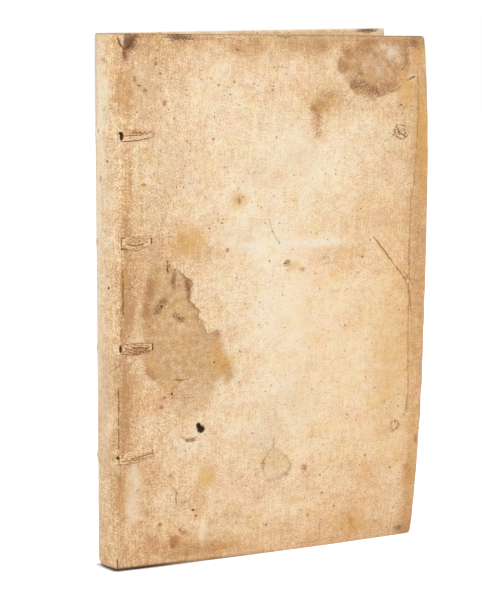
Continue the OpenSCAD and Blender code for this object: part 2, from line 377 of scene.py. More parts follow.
def cover_skin(side):
    """Vellum of a cover with its turn-ins, reaching over the joint onto the spine."""
    inset = 1.5
    steps = np.sin(np.radians([0, 20, 40, 58, 75, 90]))
    columns = spaced([(-SPINE_LAP, 0), (6, 0.45), (206, 1.75), (COVER_W - inset, 1.0)])
    columns = snapped(columns, SLIT_SPAN)
    rows = spaced([(inset, 0), (12, 1.3), (COVER_H - 12, 1.65), (COVER_H - inset, 1.3)])
    slits = [slip_span(n, 0.0) for n in SLIP_ZS]
    rows = snapped(rows, [end for low, high in slits for end in (low + SLIT_INSET, high - SLIT_INSET)])
    heights, turns = rounded_rows(rows, steps, inset)
    s0, z0 = np.meshgrid(np.concatenate([columns, [COVER_W - inset] * 5]), heights)
    sr, zr = np.meshgrid(np.concatenate([0 * columns, steps[1:]]), turns)
    edge_r = 0.75 + 0.75 * smooth(s0, 0.0, BOARD_INSET + 2)
    dips = 1 - np.sqrt(np.clip(1 - np.clip(sr ** 2 + zr ** 2, 0, 1), 0, 1))
    s, z = worn_corner(s0 + edge_r * sr, rounded_ends(z0, zr, edge_r), 2.5)
    edge_wear = 0.35 * waves(z, 0 * z, 23, 3) * smooth(s, COVER_W - 12, COVER_W)
    outer = skin_points(side, s + edge_wear * 0.6, z, edge_r * dips)
    inner = skin_points(side, s + edge_wear * 0.6, z, edge_r * (2 - dips))
    mid_s, mid_z = middles(s), middles(z)
    hole = np.zeros(mid_s.shape, bool)
    for n in SLIP_ZS:
        low, high = slip_span(n, 0.0)
        inside = (mid_z > low + SLIT_INSET) & (mid_z < high - SLIT_INSET)
        hole |= (mid_s > SLIT_SPAN[0]) & (mid_s < SLIT_SPAN[1]) & inside
    flap = edge_distance(mid_s, mid_z) < (TURN_IN_W + 0.9 * waves(s, z, 34, 8))[1:, 1:]
    rim = np.zeros(s.shape, bool)
    rim[0] = rim[-1] = rim[:, -1] = True
    from_edge = edge_distance(s, z)
    over = from_edge + inset
    at_fore_edge = COVER_W - s <= from_edge + 1e-6
    beyond_s = np.where(at_fore_edge, COVER_W + over, s)
    beyond_z = np.where(at_fore_edge, z, np.where(z < COVER_H / 2, -over, COVER_H + over))
    sheets = (np.stack([s, z, 0 * s], -1), np.stack([beyond_s, beyond_z, 0 * s], -1))
    return folded_skin(side + "_skin", side, outer, inner, sheets, rim, flap, hole)


def spine_skin():
    """Vellum over the spine, turned in at head and tail."""
    steps = np.sin(np.radians([0, 22, 45, 68, 90]))
    rows = spaced([(SPINE_EDGE_R, 0), (12, 1.0), (COVER_H - 12, 1.3), (COVER_H - SPINE_EDGE_R, 1.0)])
    heights, turns = rounded_rows(rows, steps, 0.0)
    share, z0 = np.meshgrid(np.linspace(0, 1, 33), heights)
    zr = turns[:, None] + 0 * share
    z = rounded_ends(z0, zr, SPINE_EDGE_R)
    dips = SPINE_EDGE_R * (1 - np.sqrt(np.clip(1 - zr ** 2, 0, 1)))
    along = SPINE_LAP + share * (spine_length(z) - 2 * SPINE_LAP)
    nearest = np.minimum(along, spine_length(z) - along)
    at_joint = np.where(2 * along > spine_length(z), JOINT_PULL["rear"], JOINT_PULL["front"])

    def place(depth):
        base = spine_point(0.0, along, z)
        inward = spine_point(1.0, along, z) - base
        point = base + inward * (depth - skin_relief("front", -nearest, z))[..., None]
        point[..., 0] += end_pull(-nearest, z, at_joint)
        return point

    rim = np.zeros(z.shape, bool)
    rim[0] = rim[-1] = True
    mid_z = middles(z)
    flap = np.minimum(mid_z, COVER_H - mid_z) < TURN_IN_W
    sheet = np.stack([-along, z, 0 * z], -1)
    outer, inner = place(dips), place(2 * SPINE_EDGE_R - dips)
    return folded_skin("spine_skin", "spine", outer, inner, (sheet, sheet), rim, flap, np.zeros_like(flap))


def layer_grid(side, name, v_of, edge, material, u_from, thickness):
    """Sheet inside a cover, such as the board or the pasted leaf, with its outer face at v_of."""
    us = spaced([(u_from, 0), (COVER_W - 14, 4.0), (COVER_W - 10, 0.7), (COVER_W - edge, 1.2)])
    zs = spaced([(edge, 0), (10, 1.2), (14, 0.7), (COVER_H - 14, 4.0), (COVER_H - 10, 0.7),
                 (COVER_H - edge, 1.2)])
    u, z = np.meshgrid(us, zs)
    points = cover_point(side, u, v_of(u, z), z).reshape(-1, 3)
    fields = {"sheet": np.stack([u, z, 0 * u], -1).reshape(-1, 3)}
    made = new_object(name, points, quads(grid(*u.shape), side == "front"), fields, material)
    return solidify(made, thickness)


def board(side):
    """Pasteboard of a cover."""
    def v_of(u, z):
        return VELLUM_T + 0 * u + 0.02
    return layer_grid(side, side + "_pasteboard", v_of, 1.0, pasteboard, BOARD_INSET, BOARD_T - 0.06)


def paste_leaf(side):
    """Leaf pasted inside a cover, which rises over the turned-in vellum."""
    def v_of(u, z):
        step = VELLUM_T * (1 - smooth(edge_distance(u, z), TURN_IN_W - 0.8, TURN_IN_W + 1.4))
        return VELLUM_T + BOARD_T + 0.02 + step + 0.03 * waves(u, z, 30, 21)
    name = side + "_paste_leaf"
    return layer_grid(side, name, v_of, PASTE_MARGIN, old_leaf, BOARD_INSET, PASTEDOWN_T - 0.05)


def text_block():
    """Leaves in sewn gatherings: a rounded back with a groove between gatherings, cut edges elsewhere."""
    head, tail = COVER_H - SQUARE, SQUARE
    across = np.linspace(0, GATHERINGS, GATHERINGS * 10 + 1)
    us = np.concatenate([np.linspace(0, 0.06, 5), np.linspace(0.12, 0.97, 12), [0.99, 1.0]])
    zs = np.concatenate([[tail, tail + 1.0], np.linspace(tail + 6, head - 6, 60), [head - 1.0, head]])
    fore_x = COVER_W - FORE_SQUARE - X_MID

    def place(u, g, z):
        f = 2 * g / GATHERINGS - 1
        groove = GROOVE * np.abs(np.cos(np.pi * g)) ** 6
        y = f * half_block(z)
        back = under_spine(0 * y + BLOCK_DEPTH + groove, y, z)
        leaf = 0.22 * waves(g * 9.0, z * 0.02, 5, 31) + 0.12 * waves(g * 31.0, 0 * z, 5, 32)
        sway = 0.35 * waves(z, 0 * z, 120, 33)
        fore_y = f * (half_block(z) + SWELL) + sway
        fore = np.stack([fore_x - groove / 2 + leaf + 0 * z, fore_y, z + 0 * g], -1)
        point = back + (fore - back) * u[..., None]
        uneven = np.minimum(0.25 * waves(g * 8.0, u * 3.0, 5, 34), 0.1)
        point[..., 2] += uneven * (smooth(z, head - 3, head) + smooth(z, tail, tail + 3) - 1)
        return point

    points, faces, fields = [], [], []

    def add(u, g, z, flip):
        faces.append(quads(grid(*u.shape, sum(map(len, points))), flip))
        points.append(place(u, g, z).reshape(-1, 3))
        fields.append(np.stack([u * 200, z, g * 10], -1).reshape(-1, 3))

    for end, flip in ((tail, True), (head, False)):
        g, u = np.meshgrid(across, us, indexing="ij")
        add(u, g, np.full_like(u, end), flip)
    for end, flip in ((0.0, False), (1.0, True)):
        g, z = np.meshgrid(across, zs, indexing="ij")
        add(np.full_like(g, end), g, z, flip)
    for end, flip in ((0.0, False), (float(GATHERINGS), True)):
        z, u = np.meshgrid(zs, us, indexing="ij")
        add(u, np.full_like(u, end), z, flip)
    made = new_object("leaves", np.concatenate(points), np.concatenate(faces),
                      {"sheet": np.concatenate(fields)}, leaf_edges)
    weld = made.modifiers.new("weld", "WELD")
    weld.merge_threshold = 0.00001
    return apply_modifiers(made)


def end_band(name, level, outward):
    """Thread wound over a core on the back edge of the leaves."""
    radius = arc_r(level) - BLOCK_DEPTH - GROOVE - BAND_R
    half_angle = math.asin(half_block(level) * 0.96 / (arc_r(level) - BLOCK_DEPTH))
    turns = np.linspace(-half_angle, half_angle, 260)[:, None]
    around = np.linspace(0, 2 * math.pi, 16, endpoint=False)
    core = BAND_R * 0.92 * (1 + 0.1 * np.sin(np.arange(len(turns)) * 2 * math.pi / 5.2))[:, None]
    reach = radius - core * np.cos(around)
    x = arc_r(level) - SPINE_BULGE - X_MID - reach * np.cos(turns)
    z = level + outward * (BAND_R + 0.1) + core * np.sin(around)
    index = ring_grid(*x.shape)
    faces = [*quads(index, True), index[0, :0:-1], index[-1, 1:]]
    points = np.stack([x, reach * np.sin(turns), z], -1).reshape(-1, 3)
    return new_object(name, points, faces, None, band_thread)


def line_distance(s, z, points):
    """Distance from a line through points."""
    near = np.full_like(s, FAR)
    for (ax, az), (bx, bz) in zip(points, points[1:]):
        share = ((s - ax) * (bx - ax) + (z - az) * (bz - az)) / ((bx - ax) ** 2 + (bz - az) ** 2)
        share = np.clip(share, 0, 1)
        near = np.minimum(near, np.hypot(s - ax - share * (bx - ax), z - az - share * (bz - az)))
    return near


# Creases of the slips on the front cover: darkness, which is painted shade in the crease, half width, depth
# and the line's points
SLIP_CREASES = {
    1: (
        (0.62, 0.45, 0.5, ((0.5, 268.8), (5.5, 268.8), (12.5, 269.2))),
        (0.6, 0.4, 0.35, ((7, 270.5), (12, 270.4))),
        (0.6, 0.35, 0.3, ((11, 271.2), (13.5, 270.2), (15, 271), (16.5, 270.2))),
        (0.5, 0.35, 0.3, ((13, 269.6), (17.5, 269.6))),
        (0.62, 0.4, 0.3, ((17.6, 271), (20.6, 271.2), (21.4, 270), (20.4, 269))),
        (0.3, 0.5, 0.2, ((4, 267.6), (9, 267.4))), (0.4, 0.35, 0.2, ((3.5, 272), (5, 270.6))),
        (0.42, 0.35, 0.2, ((8, 272.4), (10.5, 271.4))),
    ),
    2: (
        (0.78, 0.4, 0.5, ((4.5, 203.2), (7.5, 202.3), (10.5, 202.1), (15, 202.9))),
        (0.52, 1, 0.3, ((2, 201.2), (3.6, 199.6))),
        (0.5, 0.4, 0.35, ((4, 204.6), (6, 206.6), (9.5, 207), (12.5, 206.6), (18.6, 206))),
        (0.5, 0.38, 0.3, ((5, 200.6), (7, 200), (10.5, 200.6), (15, 201.4))),
        (0.85, 0.5, 0.6, ((20.3, 206.4), (20.7, 203.4))),
        (0.45, 0.32, 0.25, ((16, 205.2), (17.4, 204.4), (16.2, 203.4))),
        (0.4, 0.35, 0.2, ((2.6, 206), (3.2, 204.4), (2.4, 203))),
        (0.42, 0.32, 0.2, ((7, 205.4), (12, 205.2))), (0.38, 0.32, 0.2, ((8, 204), (13, 204.2))),
    ),
    3: (
        (0.82, 0.42, 0.45, ((8.5, 139.7), (11, 139.2), (13.5, 139.5), (16, 138.8), (19, 138.8))),
        (0.9, 0.5, 0.8, ((1, 140.6), (1.1, 137.6))),
        (0.6, 0.38, 0.35, ((3, 140.2), (4.6, 138.8), (7, 138.6), (9.5, 137.8), (13, 137.6))),
        (0.55, 0.35, 0.3, ((3.4, 137.4), (8, 136.4))),
        (0.55, 0.35, 0.3, ((9.5, 141.2), (12, 140.6), (14.5, 140.9), (18.5, 140.2))),
        (0.65, 0.4, 0.3, ((10, 136.2), (14, 136.9), (20, 137.5))),
        (0.5, 0.32, 0.3, ((5, 141.4), (7, 140.2), (8, 141))),
        (0.55, 0.32, 0.3, ((14.5, 138.2), (17.5, 137.9), (20.5, 139.6))),
        (0.95, 0.5, 0.6, ((22, 141.2), (22.3, 137.2))),
    ),
    4: (
        (0.8, 0.45, 0.5, ((3.4, 73.4), (2.4, 72.6), (2.2, 71.4))),
        (0.65, 0.42, 0.4, ((8.5, 70.3), (14, 71.2), (18.5, 72.2), (23.6, 73))),
        (0.55, 0.4, 0.35, ((2, 69.2), (6, 69.6), (10, 69), (16, 70))),
        (0.42, 0.35, 0.25, ((7, 71.8), (15, 72.6), (22, 73.8))), (0.32, 0.35, 0.2, ((6, 73.4), (14, 74.2))),
        (0.85, 0.5, 0.6, ((23.2, 74.8), (23.8, 72.2))),
        (0.45, 0.4, 0.25, ((5.8, 72.4), (6.6, 71.6), (5, 70.8))), (0.45, 0.35, 0.2, ((4, 68.4), (9, 68.4))),
    ),
}
# Swellings and hollows of the slips: middle, half width, half height, lift and added darkness
SLIP_HILLS = {
    1: ((7, 271.4, 6, 2, 0.45, 0.3), (9, 267.4, 13, 1.8, 0.4, -0.04), (17, 270.6, 4, 1.6, -0.1, 0.12)),
    2: ((9.5, 204.6, 7, 2.2, -0.5, 0.28), (2, 199.8, 2.5, 2, 0, 0.25), (14, 206, 8, 1.2, 0.3, 0)),
    3: ((11, 138.6, 14, 4, 0.15, 0.2), (12, 136.4, 9, 1.5, 0, 0.22)),
    4: ((4.2, 72.5, 1.9, 1.4, 0.5, -0.06), (14, 70, 9, 1.3, 0.1, 0.2), (14, 73, 10, 1.6, 0.15, 0.02)),
}
# How dark the painted shadow along the lower and the upper rim of each slip is, and how wide its root and tip
# are
SLIP_RIM_SHADES = {1: (0.8, 0.3), 2: (0.5, 0.42), 3: (0.72, 0.6), 4: (0.55, 0.3)}
SLIP_ENDS = {1: (0.9, 0.55), 2: (0.7, 0.75), 3: (0.85, 1.0), 4: (0.85, 1.0)}
# How dark the painted shade is at each slip's root, where it comes out of its slit
SLIP_ROOT_SHADES = {1: 0.98, 2: 0.6, 3: 0.9, 4: 0.8}


def slip(side, n):
    """Tawed slip laced out of the joint, along the skin and back in at its tip."""
    steps, wide = 76, 30
    tip = SLIP_TIP[n]
    t = np.linspace(-0.03, 1.07, steps)
    w = np.linspace(-1, 1, wide)
    share = np.clip(t, 0, 1)
    low, high = slip_span(n, share)
    pinch = (1 - SLIP_ENDS[n][0]) * (1 - smooth(t, -0.03, 0.2)) + (1 - SLIP_ENDS[n][1]) * smooth(t, 0.8, 1.04)
    low, high = low + (high - low) * pinch / 2, high - (high - low) * pinch / 2
    u = SLIP_ROOT + (tip - SLIP_ROOT) * t
    end_dive = 2.4 * (1 - smooth(t, -0.03, 0.05)) + 2.4 * smooth(t, 0.97, 1.07)
    body = 1.2 - 0.45 * share
    uu, ww = np.meshgrid(u, w, indexing="ij")
    lo, hi = low[:, None], high[:, None]
    zz = (lo + hi) / 2 + ww * (hi - lo) / 2
    zz = zz + 0.14 * waves(uu, ww * 3, 7, 100 * n + len(side)) * (1 - np.abs(ww) * 0.4)
    drawn = zz if side == "front" else lo + hi - zz
    dome = np.sqrt(np.clip(1 - np.abs(ww) ** 3, 0, 1))
    form = 0.07 * waves(uu, zz * 2.2, 3.0, 77 + n) + 0.05 * waves(uu, zz, 1.5, 91 + n)
    tone = 0.14 + 0 * uu
    for u0, z0, long, tall, lift, dark in SLIP_HILLS[n]:
        hill = np.exp(-((uu - u0) / long) ** 2 - ((drawn - z0) / tall) ** 2)
        form = form + lift * hill
        tone = tone + dark * hill
    # Painted shade in the creases
    for dark, thick, deep, points in SLIP_CREASES[n]:
        line = np.exp(-(line_distance(uu, drawn, points) / thick) ** 2)
        form = form - deep * line
        tone = tone + (dark - tone) * line * (dark > tone)
    # Painted shadow along the slip's lower and upper rims
    upward = ww if side == "front" else -ww
    for rim, way in zip(SLIP_RIM_SHADES[n], (-upward, upward)):
        tone = tone + (rim - tone) * smooth(way, 0.74, 0.96) * (rim > tone)
    # Painted shade at the root, where the slip comes out of its slit, and past the tip, where it goes back
    # under the skin
    middle = 1 - smooth(np.abs(ww), 0.45, 0.8)
    tone = tone + (SLIP_ROOT_SHADES[n] - tone) * (1 - smooth(t, -0.01, 0.02))[:, None] * middle
    tone = tone + (0.95 - tone) * smooth(t, 1.0, 1.03)[:, None]
    top = (body[:, None] + form) * dome - end_dive[:, None]
    top = np.maximum(top, -end_dive[:, None] - 0.15)
    floor = np.full_like(top, 0.55) + end_dive[:, None]
    point_top = cover_point(side, uu, -top, zz)
    point_low = cover_point(side, uu, np.maximum(floor - 0.3, -top + 0.25), zz)
    points = np.concatenate([point_top.reshape(-1, 3), point_low.reshape(-1, 3)])
    count = steps * wide
    front = side == "front"
    index = grid(steps, wide)
    faces = [*quads(index, not front), *quads(index + count, front)]
    loop = [*index[:, 0], *index[-1, 1:], *index[-2::-1, -1], *index[0, -2:0:-1]]
    for a, b in zip(loop, loop[1:] + loop[:1]):
        faces.append((b, a, a + count, b + count) if front else (a, b, b + count, a + count))
    sheet = np.stack([uu, zz, tone], -1).reshape(-1, 3)
    return new_object(f"{side}_lacing_{n}", points, faces, {"sheet": np.concatenate([sheet, sheet])}, tawed)


def tie_stub(side, place):
    """Frayed end of a broken tie in its hole."""
    u0, z0 = TIES[place]
    radius = 2.6 if place == "upper" else 2.1
    angles = np.linspace(0, 2 * math.pi, 40, endpoint=False)
    shares = np.linspace(0.0, 1.0, 12)[1:]
    a, r = np.meshgrid(angles, shares)
    ragged = 1 + 0.09 * np.sin(3 * a + 1) + 0.06 * np.sin(7 * a + 2)
    u = u0 + radius * r * ragged * np.cos(a)
    z = z0 + radius * r * ragged * np.sin(a)
    swirl = 0.28 * np.sin(9 * r + 2 * a) + 0.12 * np.sin(5 * a + 4 * r)
    height = (0.65 + swirl) * np.clip(1 - r ** 4, 0, 1) - 1.2 * r ** 6
    points = [cover_point(side, np.array(u0), np.array(-0.7), np.array(z0)).reshape(1, 3),
              cover_point(side, u, -height, z).reshape(-1, 3),
              cover_point(side, u[-1], 2.6, z[-1]).reshape(-1, 3)]
    index = ring_grid(len(shares) + 1, len(angles), 1)
    faces = [(0, a, b) for a, b in zip(index[0], index[0, 1:])]
    faces += [*quads(index), index[-1, :0:-1]]
    if side == "front":
        faces = [f[::-1] for f in faces]
    # Tone: random knots, with painted shade on the outer ring and, darkest, on the ring down in the hole
    knots = waves(u, z, 2.2, 17)
    tone = (0.25 if place == "upper" else 0.0) + 0.8 * np.clip(knots, 0, 1) + 0.3 * smooth(r, 0.8, 0.95)
    sheet = np.stack([u, z, tone], -1).reshape(-1, 3)
    last = np.stack([u[-1], z[-1], 0 * u[-1] + 0.9], -1)
    fields = {"sheet": np.concatenate([[[u0, z0, 0.3]], sheet, last])}
    return new_object(f"{side}_tie_stub_{place}", np.concatenate(points), faces, fields, tawed)


# Soft tints of the front cover: distance from the joint, height, half width, half height, amount of tan
WARM_ZONES = (
    (44, 197, 18, 14, 0.09), (9, 98, 5, 26, 0.12), (139, 287, 9, 7, 0.22), (12, 104, 6, 16, 0.1),
    (11, 166, 5, 14, 0.12), (192, 284, 10, 8, 0.1), (207, 210, 8, 90, 0.1), (5.5, 300, 3, 14, 0.12),
    (5.5, 245, 3, 14, 0.14), (5.5, 195, 3, 10, 0.12), (5.5, 158, 3, 12, 0.12), (19, 62, 7, 12, 0.14),
    (19, 14, 8, 8, 0.14), (45, 42, 22, 9, 0.07), (85, 26, 14, 9, 0.12), (-10, 132, 6, 16, 0.2),
    (-3, 126, 4, 12, 0.14), (2.4, 160, 2.8, 42, 0.24), (5.5, 178, 4, 26, 0.3), (3, 215, 3, 14, 0.3),
    (4, 92, 4, 14, 0.2), (5, 118, 4.5, 14, 0.32), (5.5, 60, 4, 26, 0.22), (4, 106, 4, 26, 0.14),
    (6, 158, 4, 12, 0.2), (20, 176, 10, 16, 0.14), (56, 42, 10, 9, 0.12), (3, 320, 8, 7, 0.2),
    (0, 112, 3, 10, 0.1), (-1, 48, 4, 14, 0.26), (52, 11, 14, 7, 0.3), (0, 296, 7, 16, 0.22),
    (18, 297, 8, 15, 0.2), (38, 304, 10, 8, 0.14), (20, 196, 9, 8, 0.28), (61, 195, 8, 6, 0.25),
    (46, 203, 15, 10, 0.2), (-4, 70, 4, 12, 0.14), (24, 225, 22, 60, 0.1), (60, 75, 40, 60, 0.05),
    (85, 321, 16, 7, 0.3), (132, 322, 20, 8, 0.3), (209, 306, 5, 8, 0.14), (30, 316, 20, 8, 0.12),
    (158, 292, 22, 14, 0.16), (137, 280, 10, 22, 0.2), (165, 198, 14, 15, 0.14), (188, 212, 12, 12, 0.16),
    (150, 190, 12, 8, 0.06), (200, 190, 14, 40, 0.08), (200, 290, 10, 14, 0.16), (36, 12, 14, 8, 0.22),
    (70, 8, 26, 6, 0.16), (130, 10, 30, 8, 0.08), (172, 14, 12, 10, 0.14), (214, 30, 5, 30, 0.14),
    (22, 60, 10, 30, 0.06),
)
# Paler patches, listed as the tints are. Those from -20 to -24 mm lie on the far side of the spine and are
# painted light, which makes that side as bright as the cover. The wide one at (155, 130) is partly painted
# light as well, with the peach cast of the right half.
PALE_AND_LIT_ZONES = (
    (211, 264, 6, 10, 0.1), (-21, 250, 6, 22, 0.12), (-20, 128, 6, 20, 0.1), (155, 130, 60, 90, 0.2),
    (32, 262, 18, 30, 0.08), (20, 246, 9, 20, 0.06), (100, 232, 34, 38, 0.14), (120, 262, 36, 14, 0.08),
    (105, 165, 40, 50, 0.1), (70, 104, 12, 12, 0.14), (10, 58, 6, 13, 0.2), (9, 36, 6, 10, 0.16),
    (35, 45, 16, 10, 0.1), (180, 270, 24, 20, 0.05), (120, 128, 20, 40, 0.05), (129, 205, 2.2, 80, 0.07),
    (210, 303, 5, 3, 0.15), (59, 19, 3, 8, 0.3), (120, 200, 40, 6, 0.16), (-23, 250, 5, 60, 0.2),
    (150, 250, 26, 26, 0.1), (185, 130, 30, 60, 0.08), (205, 60, 12, 40, 0.16), (6, 262, 5, 44, 0.1),
    (-22, 120, 5, 14, 0.3), (-24, 205, 5, 60, 0.22), (212, 26, 8, 20, 0.22), (-22, 300, 5, 22, 0.22),
    (-13, 300, 5, 16, 0.2), (-9, 87, 4, 9, 0.32), (85, 80, 10, 10, 0.16), (120, 272, 10, 12, 0.1),
    (88, 234, 10, 10, 0.08),
)

# Blots with ragged soft edges: distance from the joint, height, half width, half height, strength
BROWN_BLOTS = (
    (136, 278, 5, 16, 0.7), (133.5, 284, 5, 4, 1.2), (143, 292, 13, 4.5, 0.7), (136, 268, 4, 5, 0.8),
    (80.5, 228, 2.2, 3, 0.8), (110, 48, 9, 2.5, 0.5), (118, 51, 4, 3, 0.8), (102, 60, 2.6, 4, 0.6),
    (170, 15, 3, 4, 0.8), (211, 47, 4, 3.5, 1), (121, 56, 2, 6, 0.5), (-16, 284, 3, 2.4, 0.7),
    (-9, 286, 2.6, 2.6, 0.8), (-20, 242, 3, 3, 0.9), (-13, 210, 2.4, 3, 0.6), (-3, 128, 3, 3.4, 1),
    (-12, 94, 2, 3, 0.6), (-6, 60, 2.4, 3, 0.7), (78, 320.5, 4, 3.5, 0.9), (140, 322, 7, 4, 0.8),
    (92, 326, 4, 2.5, 0.8), (46, 20, 3.6, 2.6, 1.1), (39, 15.5, 4.4, 4.8, 1.6), (49.5, 79.2, 5.4, 2.4, 1.1),
    (132, 54, 3.6, 4.2, 1.2), (157, 310, 5.5, 6, 1), (47, 175, 3, 6, 0.7), (36, 57, 2.5, 3, 0.8),
    (69, 7, 12, 4, 0.6), (20, 35, 2.5, 4, 0.7), (1, 58, 3, 3, 1), (0, 130, 2, 4, 0.7),
    (213, 44, 5, 10, 0.6), (217, 66, 2, 4.5, 1.6), (209, 87, 2.2, 5, 0.9), (206.5, 83, 2.4, 2.4, 0.7),
    (210, 326, 8, 5, 1), (115.5, 186, 4.4, 2.2, 0.9), (127, 182.6, 3.6, 2.6, 0.75),
    (103.5, 298, 1.6, 7, 0.7), (22, 124, 4, 4, 0.5), (45, 107, 4, 5, 0.4), (166, 312, 8, 9, 0.7),
    (186, 295, 12, 5, 0.7), (203, 312, 4, 12, 0.8), (153, 290, 6, 4, 0.4), (214, 20, 5, 12, 0.4),
    (150, 4, 30, 3, 0.5), (200, 285, 6, 7, 0.4), (182, 327, 22, 3, 0.6), (60, 327, 60, 2, 0.5),
    (214, 250, 3, 60, 0.3), (20.5, 175, 5, 11, 1.3), (18, 163, 4.5, 12, 1.2), (72, 124, 9, 6, 0.45),
    (139, 287, 7, 5, 0.8), (46, 175, 2.6, 6, 1), (36, 180, 2.4, 5, 0.9), (18.6, 125, 2.4, 4.5, 0.8),
    (23, 119.5, 3.4, 2.4, 0.8), (38, 111, 4, 4, 0.5), (190, 298, 11, 6, 0.8), (155, 309, 5, 6, 0.9),
    (204, 314, 3.6, 11, 0.9), (180, 326, 20, 4, 0.8), (157, 320, 6, 5, 0.9), (48, 6, 3, 3, 0.9),
    (28, 287, 1, 1, 0.1), (66, 145, 4, 4, 0.7), (-18, 314, 4.5, 3, 0.8), (-2, 300, 7, 10, 0.6),
    (38, 108.8, 1.2, 1.2, 1.2),
)
PURPLE_BLOTS = (
    (4, 324.2, 7, 7, 1.5), (1, 318.5, 2.2, 5, 0.8), (8, 328.4, 8, 1.6, 0.9), (38, 328, 14, 3.2, 1.2),
    (112, 328.6, 7, 1.2, 0.7), (101, 58, 2.6, 3.5, 0.5), (209, 5, 6, 5, 0.7), (211, 325.5, 7, 5, 0.6),
    (203.5, 321, 2.4, 8, 0.5), (172, 321, 8, 5, 0.3), (188, 12, 3, 2, 0.5),
)
YELLOW_BLOTS = (
    (120, 185, 9, 5, 0.7), (202, 60, 14, 34, 0.5), (168, 308, 16, 12, 0.5), (80.5, 228.5, 9, 8, 1.2),
    (46, 203, 17, 13, 0.9), (61, 54.5, 8.2, 9, 1.8), (71, 126, 13, 9, 1.25), (22, 127, 5, 6, 0.8),
    (45, 140, 16, 12, 0.35), (171, 14, 17, 9, 0.9), (178, 48, 12, 14, 0.45), (213, 318, 5, 11, 0.8),
    (145, 292, 8, 12, 0.4), (0, 296, 6, 14, 0.5), (215, 262, 6, 60, 1.2), (194, 120, 22, 90, 0.8),
    (204, 296, 9, 20, 1.1), (214, 40, 7, 60, 0.7), (29, 108, 14, 16, 0.6), (3, 240, 4, 22, 0.5),
    (2, 178, 4, 20, 0.5), (60, 100, 16, 6, 0.35), (40, 158, 12, 14, 0.4), (66, 133, 7, 8, 0.8),
    (139, 286, 8, 6, 0.7),
)
GREY_BLOTS = (
    (123, 255, 18, 18, 0.55), (82, 204, 15, 13, 0.5), (98, 245, 20, 20, 0.35), (104, 80, 22, 24, 0.6),
    (124, 98, 18, 22, 0.5), (11, 50, 8, 26, 0.7), (-12, 105, 12, 90, 0.75), (-12, 230, 12, 80, 0.55),
    (18, 296, 14, 26, 0.5), (30, 255, 20, 34, 0.5), (19, 150, 8, 40, 0.4), (20, 196, 10, 12, 0.4),
    (186, 210, 10, 9, 0.6), (201, 287, 10, 9, 0.3), (133, 135, 5, 20, 0.3), (13, 56, 8, 22, 0.4),
    (52, 142, 14, 14, 0.4), (183, 316, 12, 9, 0.5), (12, 200, 6, 10, 0.4), (60, 20, 4, 10, 0.4),
    (30, 172, 8, 6, 0.4), (168, 285, 6, 4, 0.4),
)
RED_BLOTS = (
    (145, 190, 14, 8, 0.5), (40, 14, 6, 6, 0.6), (45, 106, 4, 6, 0.6), (24, 120, 6, 4, 0.5),
    (65, 143, 7, 5, 0.5), (16, 178, 5, 8, 0.4), (210, 46, 5, 8, 0.5), (21, 123, 4, 5, 0.8),
    (47, 104, 7, 6, 0.6), (30, 106, 15, 16, 0.55), (38, 16, 5, 6, 1), (23, 15, 8, 10, 0.95),
    (17, 172, 4, 14, 0.5), (78, 320.5, 4, 4, 0.8), (39, 324, 12, 4, 0.7), (68, 137, 7, 5, 0.4),
)
REAR_HEAD_BLOT = ((206, 332.6, 12, 2.2, 1.3),)

# Whitish rubs, in the same way. The long band at height 199 is also a painted highlight on a low ridge.
RUBS_AND_HIGHLIGHT = (
    (10.5, 61, 3.5, 11, 0.6), (12.5, 54, 3.5, 9, 0.4), (8, 40, 4, 12, 0.5), (12, 33, 4, 6, 0.35),
    (186, 323, 9, 6, 0.6), (193, 319.5, 9, 7, 0.8), (198, 315.5, 5, 4, 0.6), (172, 311, 9, 7, 0.3),
    (182, 307, 9, 6, 0.3), (-0.5, 325.5, 1.6, 4, 0.7), (59, 17, 2.5, 8, 0.6), (210, 304.5, 6, 4, 0.5),
    (26, 170, 4, 4, 0.4), (42, 150, 5, 3, 0.5), (90, 199.5, 14, 2.6, 1.2), (118, 199.6, 34, 3, 1.5),
    (140, 199.5, 25, 2.8, 1.8), (120, 199, 50, 6, 0.4),
)

# Small marks: distance from the joint, height, half width, half height
DARK_SPECKS = (
    (57, 230, 0.9, 0.6), (60, 211, 0.8, 0.7), (69, 214, 0.8, 0.7), (80, 235, 0.6, 0.6), (91, 245, 0.6, 0.6),
    (43, 296, 1, 0.5), (10, 283, 0.6, 0.6), (8, 177, 0.5, 0.9), (33, 189, 0.4, 1.3), (37, 186, 0.7, 0.7),
    (105, 230, 0.4, 1.1), (94, 224, 0.7, 0.4), (113, 167, 0.6, 0.6), (115, 146, 0.5, 0.5),
    (159, 145, 0.5, 0.8), (176, 110, 0.7, 0.7), (145, 201, 0.6, 0.6), (169, 220, 0.6, 0.6),
    (37, 237, 0.6, 0.6), (42, 237, 0.6, 0.6), (65, 127, 0.8, 0.9), (20, 152, 0.7, 0.6), (36, 109, 1.1, 1),
    (52, 34, 1.5, 1), (54, 30, 1, 1), (16, 30, 0.7, 0.7), (46, 72, 0.7, 0.7), (133, 34, 0.7, 0.7),
    (128, 8, 0.7, 0.7), (114, 187, 1.1, 0.8), (102, 106, 0.6, 0.6), (136, 105, 0.6, 0.6),
    (145, 68, 0.6, 0.6), (109, 71, 0.5, 0.5), (150, 53, 0.6, 0.6), (171, 189, 0.8, 1), (168, 179, 0.4, 1),
    (191, 93, 0.6, 0.6), (202, 97, 0.6, 0.5), (174, 52, 0.6, 0.6), (201, 309, 0.8, 0.8),
    (207, 285, 0.6, 0.6), (199, 286, 0.8, 0.8), (28, 164, 0.8, 1.8), (0, 72, 0.9, 1.4),
    (104.5, 207.5, 0.7, 0.5), (104, 310, 0.7, 0.7), (77.5, 320.5, 0.8, 0.7), (40, 156, 0.9, 0.6),
)
